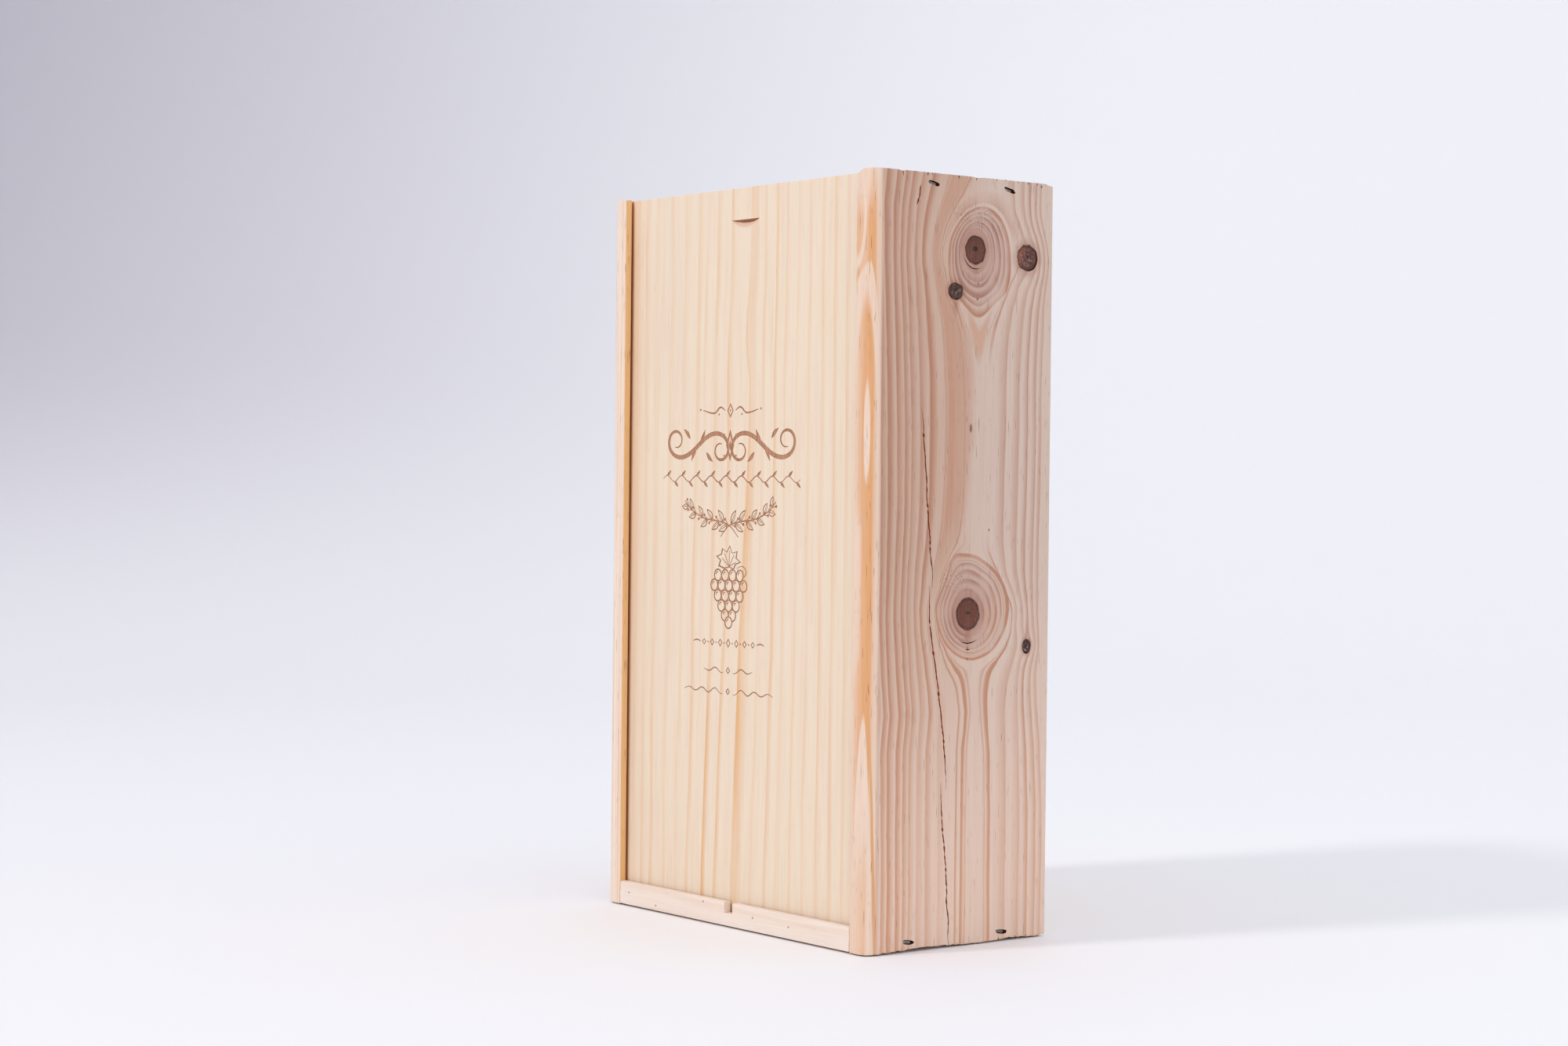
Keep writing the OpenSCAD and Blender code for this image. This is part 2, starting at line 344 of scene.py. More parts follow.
# Distances in mm from the front edge and from the foot. Rings are counted outwards from the pith line,
# each with its own edge, fade and strength; the centres say where that line runs and the scales spread
# the rings. An eye is where a large knot turns the rings round itself: an oval of half width size,
# stretched by up and down, whose hold on the rings decays outwards, with rings of its own from the knot's
# rim to grow. A tail is stained wood above or below a knot. Pores and marks are (back, up, half width,
# half height), and the wedge is (back, foot, head) of a spur between the rings.
rightFigure = {
    "name": "rightBoardPine",
    "outside": 1,
    "frontCentre": [(0, 60.3), (60, 60.2), (90, 60.6), (107, 62.9), (122, 62.2), (150, 61.6), (200, 63.6),
                    (235, 64.5), (315, 63), (335, 65.5), (351, 69.5)],
    "rearCentre": [(0, 67.6), (60, 67.4), (88, 66.2), (110, 63.4), (125, 62.2), (150, 61.8), (200, 64.2),
                   (235, 64.6), (315, 63), (335, 65.5), (351, 69.5)],
    "frontScale": [(0, 1.119), (60, 1.119), (150, 1.055), (230, 1), (315, 1), (351, 0.9)],
    "rearScale": [(0, 1), (315, 1), (351, 1.25)],
    "eyes": [
        {"at": 315, "size": 19.2, "up": 0.86, "down": 0.69, "upPower": 1.9, "downPower": 1.4, "lean": 0.06,
         "decay": 3.1, "below": 3.1, "tail": [(0, -4.5), (3, -2.6), (6, -1.3), (10, -0.5), (16, 0)],
         "knot": (60.4, 317.3), "rim": 6.5, "squash": 0.76, "shift": (2.7, -5.1), "grow": 12.4, "bow": -0.006,
         "point": 0.6, "shoulder": 0, "halo": [(14.7, 7, 0.5)],
         "rings": [(1.3, -1.3, 0.4), (3.4, -1.5, 0.5), (4.7, -1.5, 0.95), (7.6, -2.2, 1.1), (9.8, -1.7, 0.9),
                   (12.6, -2.7, 1.3)]},
        {"at": 150, "size": 21.8, "up": 0.78, "down": 1.13, "upPower": 1.6, "downPower": 2, "lean": -0.18,
         "decay": 4.6, "below": 2.3, "tail": [(0, -4.5), (1.5, -2.4), (3, -0.8), (5, 0)],
         "knot": (57.8, 151.3), "rim": 7.0, "squash": 0.915, "shift": (3.2, 3.45), "grow": 15, "bow": 0.008,
         "point": 0, "shoulder": 0.6, "halo": [],
         "rings": [(2.9, -2.2, 0.9), (6.3, -2.0, 0.95), (9.5, -2.2, 1.1), (11.9, -1.6, 0.9),
                   (13.2, -1.1, 0.5), (15.3, -2.7, 1.35)]},
    ],
    "heartRings": [(5.8, -2.2, 1.6), (3.1, -1.1, 0.6)],
    "frontRings": [
        (9.1, -1.3, 1.0), (20.4, -5, 0.42), (29.2, -5, 1), (35, -4.2, 0.8), (40.3, -3.6, 0.85),
        (44.2, -3.4, 1), (48.8, -4, 1.1), (54.3, -4.2, 1.2), (58.3, -3.4, 1), (62.3, -3.2, 0.7),
        (66.5, -3, 0.5),
    ],
    "rearRings": [
        (15.2, -5.8, 0.5), (23.6, -4.6, 0.6), (28.9, -3.2, 0.75), (33.9, -3, 0.7), (37.6, -2.4, 0.6),
    ],
    "heartShown": [(0, 1), (150, 1), (170, 0.8), (181, 0.2), (190, 0), (264, 0), (285, 0.7), (310, 0.6),
                   (332, 0), (351, 0)],
    "wide": [(150, 0), (176, 0.5), (200, 0.9), (270, 0.95), (300, 0.85), (345, 0.9)],
    "wideFrom": [(0, 2.6), (140, 14), (170, 11), (185, 9), (200, 8), (215, 6.2), (230, 5), (250, 4.5),
                 (285, 4.5), (300, 8), (312, 11), (330, 11), (345, 8.4), (351, 8.4)],
    "wedge": (63.4, 265, 282),
    "pores": [(51, 167, 10, 6), (60, 333, 15, 4.5)],
    "faint": 0.7,
    "bulges": [
        {"at": (48.8, 298.1), "size": 5.5, "reach": 7},
        {"at": (92.5, 315.5), "size": 10, "reach": 9.5},
        {"at": (94.6, 135.9), "size": 5, "reach": 6},
    ],
    "knots": [
        {"at": (60.4, 317.3), "radii": (6.3, 6.8), "dark": 0.12, "orange": 0, "rings": 4.5, "greySheen": 0.1,
         "seed": 1, "rough": 0.2, "tail": -8, "pith": (1.3, 1.1)},
        {"at": (92.5, 315.5), "radii": (6.3, 6.2), "dark": 0.35, "orange": 0.5, "rings": 5.5, "greySheen": 0.5,
         "seed": 2, "rough": 0.42, "tail": -4, "pith": (0.7, 0.7)},
        {"at": (48.8, 298.1), "radii": (4.5, 3.9), "dark": 0.75, "orange": 0, "rings": 3.5, "greySheen": 0.5,
         "seed": 3, "rough": 0.4, "tail": -8, "pith": (1.0, 0.8)},
        {"at": (58.2, 151.5), "radii": (7.2, 7.5), "dark": 0.0, "orange": 0, "rings": 5, "greySheen": 0.0,
         "seed": 4, "rough": 0.16, "tail": -11, "pith": (1.6, 0.7)},
        {"at": (94.6, 135.9), "radii": (2.7, 3.4), "dark": 0.85, "orange": 0, "rings": 1.6, "greySheen": 0.9,
         "seed": 5, "rough": 0.4, "tail": 9, "pith": (0.8, 0.6)},
    ],
    "marks": [(58.8, 236.2, 1.1, 2.6), (70.6, 189.8, 0.7, 0.7), (62.2, 302, 0.8, 0.8), (62, 295, 0.9, 0.9),
              (58, 131, 0.6, 0.8), (58.1, 136, 0.5, 0.6), (101, 349, 0.8, 0.8)],
    "fancyFront": True,
}

leftFigure = {
    "name": "leftBoardPine",
    "outside": -1,
    "frontCentre": [(0, 44), (95, 41), (210, 39), (351, 36)],
    "rearCentre": [(0, 46), (95, 41), (210, 42), (351, 38)],
    "frontScale": [(0, 1), (351, 1.05)],
    "rearScale": [(0, 0.95), (351, 1)],
    "eyes": [
        {"at": 97, "size": 16, "up": 0.7, "down": 0.8, "upPower": 1.5, "downPower": 1.7, "lean": 0.1,
         "decay": 3.4, "below": 2.8, "tail": [(0, -4.5), (2, -2.6), (5, -1.2), (9, 0)],
         "knot": (41.5, 97), "rim": 5.9, "squash": 0.76, "shift": (-0.6, 1.2), "grow": 10, "bow": 0.004,
         "point": 0, "shoulder": 0, "halo": [],
         "rings": [(1.6, -1.5, 0.4), (3.6, -1.7, 0.6), (5.6, -1.8, 0.7), (8, -1.8, 0.7), (10.1, -1.9, 0.9)]},
    ],
    "heartRings": [(5.2, -2.2, 0.8), (9.6, -2.6, 0.5)],
    "frontRings": [
        (17, -5, 0.7), (24, -4.5, 0.8), (30, -4, 0.8), (35, -3.6, 0.85), (39.5, -3.2, 0.8), (44, -3.4, 0.7),
    ],
    "rearRings": [
        (16, -5, 0.6), (24.5, -4.5, 0.8), (31, -4, 0.8), (36, -3.6, 0.85), (41.5, -3.2, 0.8), (46, -3.4, 0.8),
        (50.5, -3.4, 0.8), (55, -3.2, 0.85), (59, -3, 0.8), (63.5, -3.2, 0.8), (68, -3, 0.7),
    ],
    "heartShown": [(0, 0.6), (351, 1)],
    "wide": [(0, 0), (20, 0.3), (60, 0), (180, 0), (230, 0.4), (290, 0)],
    "wideFrom": [(0, 3), (351, 3)],
    "wedge": None,
    "pores": [(36, 108, 8, 5)],
    "faint": 0.6,
    "bulges": [{"at": (79, 262), "size": 6, "reach": 6}],
    "knots": [
        {"at": (41.5, 97), "radii": (5.6, 6.2), "dark": 0.2, "orange": 0, "rings": 5, "greySheen": 0.2,
         "seed": 7, "rough": 0.2, "tail": -6, "pith": (1.2, 0.8)},
        {"at": (79, 262), "radii": (2.8, 3.2), "dark": 0.7, "orange": 0, "rings": 3, "greySheen": 0.6,
         "seed": 8, "rough": 0.4, "tail": 5, "pith": (0.6, 0.6)},
    ],
    "marks": [(30, 300, 0.8, 1.4)],
    "fancyFront": False,
}


def knotLayer(colour, y, z, knot, wobble):
    # A knot with its own rings, its pith, a dark, slightly open rim and a stained tail
    (yAt, zAt), (wide, high) = knot["at"], knot["radii"]
    across, up = y - yAt, z - zAt
    spot = far(across / wide, up / high) + (wobble - 0.5) * knot["rough"]
    along = up / knot["tail"]
    tail = ease(along, 1.9, 0.7) * ease(along, 0, 0.4)
    tail = tail * ease(across.size() + up.size() * 0.12, wide * 0.85, wide * 0.15)
    stain = (ease(spot, 1.7, 1.0) * 0.4).most(tail * 0.6)
    colour = mixed(colour, pine["knotStain"], stain)
    body = tuple(a + (b - a) * knot["dark"] for a, b in zip(pine["knot"], pine["darkKnot"]))
    turns = (spot * knot["rings"] * 6.28 + wobble * 3).op("SINE") * 0.5 + 0.5
    body = mixed(body, pine["rim"], turns * 0.38)
    speck = cloud(y * 1.3, z * 1.3, knot["seed"] * 3.7, 3, 0.7)
    body = mixed(body, pine["knotSpeck"], ease(speck, 0.52, 0.7) * 0.5)
    if knot["orange"]:
        body = mixed(body, pine["knotOrange"], ease(across - up * 0.4, -1, -wide * 0.8) * knot["orange"])
    # Grey patches in the knot: partly its own grey and partly painted sheen
    greySheen = ease(cloud(y * 0.8 + 7, z * 0.8, knot["seed"] * 5.1, 2), 0.5, 0.62) * ease(spot, 0.85, 0.6)
    body = mixed(body, pine["knotGreySheen"], greySheen * knot["greySheen"] * 0.6)
    body = mixed(body, pine["rim"], ease(up / high + (speck - 0.5), -0.7, 0.9) * 0.22)
    core = far(across / knot["pith"][0], (up - 0.5) / knot["pith"][1])
    body = mixed(body, pine["pith"], ease(core, 1.35, 0.75))
    rim = ease((spot - 0.95).size(), 0.17, 0.03) * ease(speck, 0.35, 0.55)
    body = mixed(body, pine["rim"], rim * 0.9)
    soft = 0.7 / (wide + high)
    return mixed(colour, body, ease(spot, 1 + soft, 1 - soft))


def eyeField(eye, off, z, shake):
    # How a large knot turns the rings: the share of their distance that is left, and the dip inside the eye
    size = eye["size"]
    up = z - eye["at"] + shake * 4
    above, below = up.most(0), up.least(0) * -1
    across = (off - above * eye["lean"] + shake * 3).size()
    high = above * eye["up"] + below * eye["down"]
    power = ease(up, 0, 12) * (eye["upPower"] - 2) + ease(up, 0, -12) * (eye["downPower"] - 2)
    power = power * ease(far(across, high), size * 0.55, size * 1.05) + 2
    reach = (across.op("POWER", power) + high.op("POWER", power)).op("POWER", 1 / power)
    decay = ease(up, 6, -18) * ease(off.size(), 36, 22) * (eye["below"] - eye["decay"]) + eye["decay"]
    left = 1 - (size / reach).least(1).op("POWER", decay)
    dip = curve(reach - size, [(-size, -4.5 - 1.45 * size), *eye["tail"], (eye["tail"][-1][0] + 1, 0)])
    return left, dip


def eyeRings(eye, back, z, depth, shake):
    # 0 at the knot's rim and 1 at the edge of its eye, on ovals whose middle drifts as they grow
    (yAt, zAt), (aside, above) = eye["knot"], eye["shift"]
    squash, rim, grow = eye["squash"], eye["rim"], eye["grow"]
    up = z - zAt
    across = (back - yAt + up.most(0).squared() * eye["bow"]) * (1 + ease(up, -17, -32) * eye["point"])
    across = across.most(0) + across.least(0) * (1 + ease(up, 2, 24) * eye["shoulder"])
    up = up * squash
    above = above * squash
    room = grow ** 2 - aside ** 2 - above ** 2
    half = across * aside + up * above + rim * grow
    inner = (half.squared() + (across.squared() + up.squared() - rim ** 2) * room).most(0).op("SQRT")
    share = (inner - half) / room + shake * 0.06 + depth * 0.02
    tone = ringTone(share * grow, eye["rings"], 0.35) * ease(share, 1.16, 1.05)
    if eye["halo"]:
        tone = tone + ringTone(share * grow, eye["halo"]) * ease(up, 1, 12)
    return share, tone


def frontFigure(x, back, z, drift):
    # The rounded front edge cuts the rings almost flat, which draws an arch, a lens and a spire.
    # Returns how orange it is; around is the distance round the edge, in mm.
    around = x - innerFace + back * 0.57 + drift * 0.5
    high = z + drift * 5

    def bow(apex, middle, right, left):
        aside = around - middle
        return apex - high - aside.most(0).squared() * right - aside.least(0).squared() * left

    grain = cloud(around * 1.1, z * 0.022, 4, 2)
    tone = curve(around, [(0, 0.08), (1, 0.14), (2.4, 0.36), (4, 0.6), (6.2, 0.82), (8.5, 0.92), (10.6, 1),
                          (11.5, 0.95), (12.6, 0.42), (13.6, 0.15), (15, 0.1)])
    # A pale stripe on the inner side, in the middle of the board
    tone = tone * (1 - ease(around, 7.2, 3.6) * ease(z, 118, 138) * ease(z, 204, 186) * 0.8)
    lens = ((around - 8.5) / 2.1).squared() + ((high - 233) / 24).squared()
    tone = tone * ease(lens, 0.55, 1.1)
    # The arch near the top, and what lies over it
    overArch = bow(309, 9.4, 1.4, 0.13)
    underArch = bow(291, 8, 1.5, 0.5)
    tone = tone * (1 - ease(overArch, -2.5, 2) * ease(underArch, 7, -8) * 0.9)
    top = curve(around, [(0, 0.55), (2.2, 0.72), (4.2, 0.6), (6, 0.5), (7.4, 0.62), (9.5, 0.95), (11.8, 1),
                         (12.8, 0.4), (14, 0.12)])
    top = top * (1 - ease(z, 326, 344) * ease(around, 10.5, 7.5) * 0.7) * ease(z, 360, 325)
    hook = far((around - 0.5) / 5.7, (high - 331) / 22)
    top = top * (1 - ease((hook - 1.02).size(), 0.22, 0.06) * 0.9)
    isTop = ease(overArch, 2, -2.5)
    tone = tone * (1 - isTop) + top * isTop
    # The spire at the foot, with the orange line along its outer side
    inSpire = bow(108, 8.6, 5.2, 1.4)
    low = curve(around, [(0, 0.14), (3, 0.1), (6, 0.3), (8, 0.42), (9.5, 0.5), (10.8, 0.2), (12.5, 0.1)])
    low = low * ease(z, 62, 25)
    tone = tone * (1 - ease(inSpire, -3, 3)) + low * ease(inSpire, -3, 3)
    tone = tone * (1 - ease(z, 96, 62) * ease(around, 11, 12) * 0.9)
    line = curve(z, [(0, 14.9), (20, 14.1), (40, 13.6), (60, 13.1), (80, 12.3), (100, 11.6), (112, 11)])
    tone = tone.most(ease((around - line).size(), 1.0, 0.3) * ease(z, 125, 108) * 0.95)
    return (tone * (grain * 0.5 + 0.78)).least(1)


def sideBoardWood(figure):
    material, shader, (x, y, z) = newMaterial(figure["name"])
    back = y - frontY  # distance from the front lips
    inner = x * figure["outside"]
    depth = outerFace - inner  # distance from the outer face
    drift = (cloud(back * 0.05, z * 0.013, figure["outside"] * 5, 1) - 0.5) * 1.6
    drift = drift + (cloud(back * 0.3, z * 0.045, 3, 1) - 0.5) * 0.7
    front = (curve(z, figure["frontCentre"]) - back - drift).most(0) * curve(z, figure["frontScale"])
    rear = (back + drift - curve(z, figure["rearCentre"])).most(0) * curve(z, figure["rearScale"])
    off = rear - front
    shake = cloud(back * 0.1, z * 0.1, 1.7, 0) - 0.5
    wobble = cloud(back * 0.3, z * 0.3, 5.7, 2)
    lefts, dips = zip(*(eyeField(eye, off, z, shake) for eye in figure["eyes"]))
    shares, tones = zip(*(eyeRings(eye, back, z, depth, shake) for eye in figure["eyes"]))
    inEyes = reduce(Wire.most, [ease(share, 1.08, 0.94) for share in shares])
    closeIn = reduce(Wire.most, [ease(share, 0.9, 0.2) for share in shares])
    duskIn = reduce(Wire.most, [ease(share, 0.93, 0.8) for share in shares])
    field = far(off * reduce(Wire.__mul__, lefts), depth * 1.2 + 1.5) + reduce(Wire.__add__, dips)
    for bulge in figure["bulges"]:
        away = far(back - bulge["at"][0] + shake, z - bulge["at"][1]) / bulge["reach"]
        field = field - curve(away, [(0, 1), (0.5, 0.8), (1, 0.42), (1.6, 0.15), (2.6, 0)]) * bulge["size"]

    uneven = cloud(field * 0.23, back * 0.01, z * 0.006 + figure["outside"] * 2, 1)
    isRear = ease(off, -0.5, 0.5)
    patchy = ease(cloud(back * 0.06, z * 0.06, 8.2, 1), 0.25, 0.6) * 0.8 + 0.35
    late = reduce(Wire.__add__, tones) * patchy
    late = late + ringTone(field, figure["heartRings"]) * curve(z, figure["heartShown"]) * (1 - inEyes)
    frontTone = ringTone(field, figure["frontRings"])
    weak = ease(field, 42, 36) * ease(field, 12, 16) * ease(z, 150, 60)
    frontTone = frontTone * (1 - weak * (1 - figure["faint"]))
    late = late + frontTone * (1 - isRear) + ringTone(field, figure["rearRings"]) * isRear
    wide = curve(field, [(0, 0.5), (14, 0.6), (17.4, 0.72), (18.3, 0.95), (18.8, 0)])
    wide = wide * ease(field - curve(z, figure["wideFrom"]) + shake * 2, -2.6, 2.6)
    broad = wide * curve(z, figure["wide"]) * (1 - isRear)
    late = late.most(broad)
    warm = broad * 0.5
    if figure["wedge"]:
        at, foot, head = figure["wedge"]
        gap = (back + drift - at).size() - (z - foot).most(0) * 0.26
        roof = z - (back + drift - at).size() * 1.3
        spur = ease(gap, 2.2, -1.2) * ease(z, foot - 3, foot + 9) * ease(roof, head + 1, head - 4)
        late = late.most(spur * 0.62)
        warm = warm.most(spur * 0.7)
    late = (late * (uneven * 1.1 + 0.45)).least(1)

    # Painted bounce light: towards the foot the early and late wood are painted paler and warmer
    low = ease(z, 195, 10)
    early = mixed(mixed(pine["early"], pine["warmEarly"], ease(off, 8, -22)), pine["earlyFootLit"], low)
    dark = mixed(pine["late"], pine["lateWarmAndFootLit"], low)
    colour = mixed(early, mixed(dark, pine["lateWarmAndFootLit"], warm), late)
    colour = mixed(colour, pine["eye"], inEyes * (1 - late) * (closeIn * 0.5 + 0.2))
    aside = ease(off - (z - 150) * 0.5, 14, -12)
    aside = aside.most(ease(off - (z - 317) * 0.5, 16, -10) * ease(z, 230, 260))
    colour = mixed(colour, pine["eyeRing"], closeIn.most(duskIn * 0.55) * late * aside * 0.85)
    specks = ease(cloud(back * 1.5, z * 1.5, 3.3, 1), 0.58, 0.68)
    for across, up, wide, high in figure["pores"]:
        area = ease(far((back - across) / wide, (z - up) / high), 1.2, 0.6)
        colour = mixed(colour, pine["pore"], area * specks * 0.6)
    for knot in figure["knots"]:
        colour = knotLayer(colour, back, z, knot, wobble)
    for across, up, wide, high in figure["marks"]:
        spot = far((back - across) / wide, (z - up) / high) + wobble * 0.6
        colour = mixed(colour, pine["mark"], ease(spot, 1.3, 0.7) * 0.75)

    onFront = ease(back, 6.2, 4.2)
    if figure["fancyFront"]:
        tone = frontFigure(x, back, z, drift)
        colour = mixed(colour, mixed(pine["frontPale"], pine["frontOrange"], tone), onFront)
    else:
        stripes = cloud(inner * 1.2, z * 0.006, 2, 2)
        tone = ease(stripes, 0.45, 0.65) * 0.3 + ease(depth, 7.5, 9.5) * 0.1
        colour = mixed(colour, mixed(pine["leftFront"], pine["frontOrange"], tone), onFront)
        # Painted bounce light: the lip's inner face beside the lid is painted bright orange
        revealBounce = ease(depth, 11.6, 11.95) * ease(back, 14, 10) * ease(back, 0.02, 0.4)
        colour = mixed(colour, pine["revealBounceLight"], revealBounce * 0.9)
    # Painted shade: the inside of the lid's groove is painted dark orange-brown
    grooveShade = ease(back, 3.4, 3.62) * ease(back, 10.3, 10.1) * ease(depth, 5.8, 6.1) * ease(depth, 12.1, 11.9)
    colour = mixed(colour, pine["grooveShade"], grooveShade * 0.9)
    # Painted shade: the lowest mm of the board is painted dark brown as a contact shadow
    colour = mixed(colour, pine["foot"], ease(z, 0.9, 0.35) * 0.8)
    finishWood(shader, colour, late * (1 - onFront), back, z, depth, dashes=0.55, rare=0.69)
    return material


lidFigure = {
    "early": tint(246, 228, 202),
    "late": tint(238, 186, 128),
    "lean": [(0, 0), (25, 0), (95, 3.6), (140, 5.6), (200, 7.2), (265, 7.6), (300, 9.2), (350, 9.5)],
    "leanAt": -8,
    "leanWidth": 34,
    "wave": [(0, 0), (100, -0.7), (140, -0.6), (190, 2.1), (235, 4), (260, 4.4), (277, 1.1), (290, 0.7),
             (312, 2.8), (350, 3.5)],  # of the broad band near the middle
    "rings": [
        (-95, 4, 0.5), (-86.5, 3, 0.25), (-79.5, 3.4, 0.32), (-72, 3.4, 0.5), (-61, 3.4, 0.32), (-51, 3, 0.3),
        (-41.5, 3.4, 0.5), (-36, 2.4, 0.14), (-28.6, 3.6, 0.4), (-18.3, 3.4, 0.62), (-5, 9.5, 0.7),
        (9.5, 3.2, 0.42), (20.5, 3.4, 0.55), (29, 3, 0.36), (39, 3, 0.34), (48.6, 3, 0.34), (58.8, 3, 0.46),
        (68, 3.2, 0.5), (77.8, 3, 0.38), (87, 3, 0.34),
    ],
    "strong": [(-28.6, 3.6, 0.7), (-5, 8, 0.2)],  # only below
    "pink": tint(243, 211, 184),
    # painted bounce light: a warm orange glow on the left of the lid, as if from the lit reveal beside it
    "margin": tint(240, 190, 140),
    # painted light: the strip of face just inside the lips, painted paler to lift the lips' shadow
    "edge": tint(255, 214, 158),
    "shadeUnderLips": tint(226, 142, 74),  # painted shade: the face under the lips, painted dark orange-brown as it looks in their shade
}


def lidWood():
    material, shader, (x, y, z) = newMaterial("lidPine")
    near = ((x - lidFigure["leanAt"]) / lidFigure["leanWidth"]).squared()
    lean = curve(z, lidFigure["lean"]) * (near * -0.5).op("EXPONENT")
    drift = (cloud(x * 0.04, z * 0.012, 2, 1) - 0.5) * 3 + (cloud(x * 0.25, z * 0.05, 6, 1) - 0.5) * 0.7
    field = x - lean + drift + (y - lidLow.y) * 0.25
    field = field - curve(z, lidFigure["wave"]) * (((field + 1) / 6).squared() * -0.5).op("EXPONENT")
    uneven = cloud(field * 0.16, z * 0.009, 4, 1)
    late = ringTone(field, lidFigure["rings"]) * (ease(uneven, 0.2, 0.75) + 0.3)
    late = late + ringTone(field, lidFigure["strong"]) * ease(z, 130, 95)
    late = late.least(1)
    colour = mixed(lidFigure["early"], lidFigure["late"], late)
    pink = cloud(x * 0.28, z * 0.015, 9, 2)
    colour = mixed(colour, lidFigure["pink"], ease(pink, 0.42, 0.7) * 0.25)
    # Painted bounce light: the lid's left side is painted warmer orange near the lip
    margin = ease(x, -78, -91) * ease(z, 20, 220)
    colour = mixed(colour, lidFigure["margin"], margin * 0.4)
    onFace = ease(y - lidLow.y, 1.3, 0.7)
    # Painted light: the face just inside the lips is painted paler against the lips' shadow
    colour = mixed(colour, lidFigure["edge"], ease(x.size(), 88.2, 89.4) * 0.4)
    # Painted shade: the face under the lips is painted dark orange-brown
    colour = mixed(colour, lidFigure["shadeUnderLips"], ease(x.size(), 89.8, 90.4) * onFace * 0.8)
    finishWood(shader, colour, late * 0.6, x, z, y, dashes=0.12, streaks=0.12)
    return material


# Wood of the end boards, the back panel and the divider
plainBoards = {
    "endPine": {
        "along": "x", "early": (252, 236, 221), "late": (243, 216, 189), "heart": (-30, 60), "gap": 3.1,
        "share": 0.55, "strength": 0.26, "seed": 11,
        "marks": [(-82, 7), (-59, 3.4), (-20, 10.2), (19, 7.2), (46, 6.4)],
    },
    "panelPine": {
        "along": "z", "early": (245, 225, 196), "late": (222, 170, 114), "heart": (18, -140), "gap": 6.2,
        "share": 0.6, "strength": 0.55, "seed": 23, "marks": [],
    },
    "dividerPine": {
        "along": "z", "early": (242, 220, 190), "late": (216, 162, 106), "heart": (30, -70), "gap": 4.2,
        "share": 0.6, "strength": 0.6, "seed": 31, "marks": [],
    },
}


def plainWood(name):
    figure = plainBoards[name]
    material, shader, (x, y, z) = newMaterial(name)
    along, across, through = (x, z, y) if figure["along"] == "x" else (z, x, y)
    seed = figure["seed"]
    drift = (cloud(across * 0.03, along * 0.008, seed, 1) - 0.5) * 9
    drift = drift + (cloud(across * 0.3, along * 0.05, seed, 1) - 0.5)
    reach = far(across - figure["heart"][0] + drift, through - figure["heart"][1])
    count = reach / figure["gap"] + (cloud(reach * 0.06, seed, 0.5, 1) - 0.5) * 2.2
    uneven = cloud(count.op("FLOOR") * 3.7, seed, 1.5, 0)
    late = evenRings(count, figure["share"]) * (uneven * 1.3 + 0.25)
    late = (late * figure["strength"] * 1.6).least(1)
    colour = mixed(tint(*figure["early"]), tint(*figure["late"]), late)
    # Painted shade: the lowest mm of the board is painted dark brown as a contact shadow
    colour = mixed(colour, pine["foot"], ease(z, 0.95, 0.4) * 0.8)
    for a, b in figure["marks"]:
        spot = far((along - a) * 0.8, across - b) + cloud(along, across, seed, 1) * 0.4
        colour = mixed(colour, pine["endKnot"], ease(spot, 0.9, 0.4) * 0.8)
    finishWood(shader, colour, late, across, along, through, dashes=0.2, streaks=0.2)
    return material


steel = {"base": (0.50, 0.48, 0.46), "worn": (0.10, 0.085, 0.075), "rust": tint(92, 50, 28)}


def stapleSteel():
    material, shader, (x, y, z) = newMaterial("stapleSteel")
    scratch = cloud(x * 3, y * 3, z * 3, 3, 0.7)
    colour = mixed(steel["base"], steel["worn"], ease(scratch, 0.36, 0.56))
    colour = mixed(colour, steel["rust"], ease(cloud(x * 1.1, y * 1.1, z * 1.1, 3), 0.58, 0.7) * 0.6)
    plug(colour.tree, shader.inputs["Base Color"], colour)
    shader.inputs["Metallic"].default_value = 0.9
    plug(colour.tree, shader.inputs["Roughness"], scratch * 0.35 + 0.22)
    relief(shader, scratch * 0.03)
    return material


# Wood that a staple, a split, a tool or the engraving laid bare
sawn = {"fine": 2.2, "along": 0.5, "uneven": 0.6, "start": 0.3, "rough": 0.75, "gloss": 0.08, "relief": 0.1}
bareWoods = {
    # the pits round the staples are painted dark, partly their own torn fibres and partly painted shade in
    # the pits
    "torn": {"under": (50, 27, 17), "over": (150, 90, 56), "fine": 2.5, "along": 0.6, "uneven": 0.7,
             "start": 0.4, "rough": 0.85, "gloss": 0.08, "relief": 0.15},
    "scorched": {**sawn, "under": (206, 156, 120), "over": (158, 104, 74), "along": 0.12, "rough": 0.8,
                 "gloss": 0.5, "relief": 0.08},
    # the nicks and the gaps beside the knots are painted dark brown, partly as dirt and partly as painted
    # shade in these narrow hollows
    "split": {**sawn, "under": (96, 52, 30), "over": (52, 27, 15), "gloss": 0},
    "rift": {**sawn, "under": (200, 102, 44), "over": (126, 58, 24), "gloss": 0},
    "endGrain": {**sawn, "under": (176, 124, 92), "over": (132, 86, 60)},
    "fresh": {**sawn, "under": (250, 220, 196), "over": (238, 196, 164)},
}


def bareWood(kind):
    wood = bareWoods[kind]
    material, shader, (x, y, z) = newMaterial(kind + "Pine")
    grain = cloud(x * wood["fine"], y * wood["fine"], z * wood["along"], 3, wood["uneven"])
    colour = mixed(tint(*wood["under"]), tint(*wood["over"]), ease(grain, wood["start"], 0.75))
    plug(colour.tree, shader.inputs["Base Color"], colour)
    shader.inputs["Roughness"].default_value = wood["rough"]
    shader.inputs["Specular IOR Level"].default_value = wood["gloss"]
    relief(shader, grain * wood["relief"])
    return material


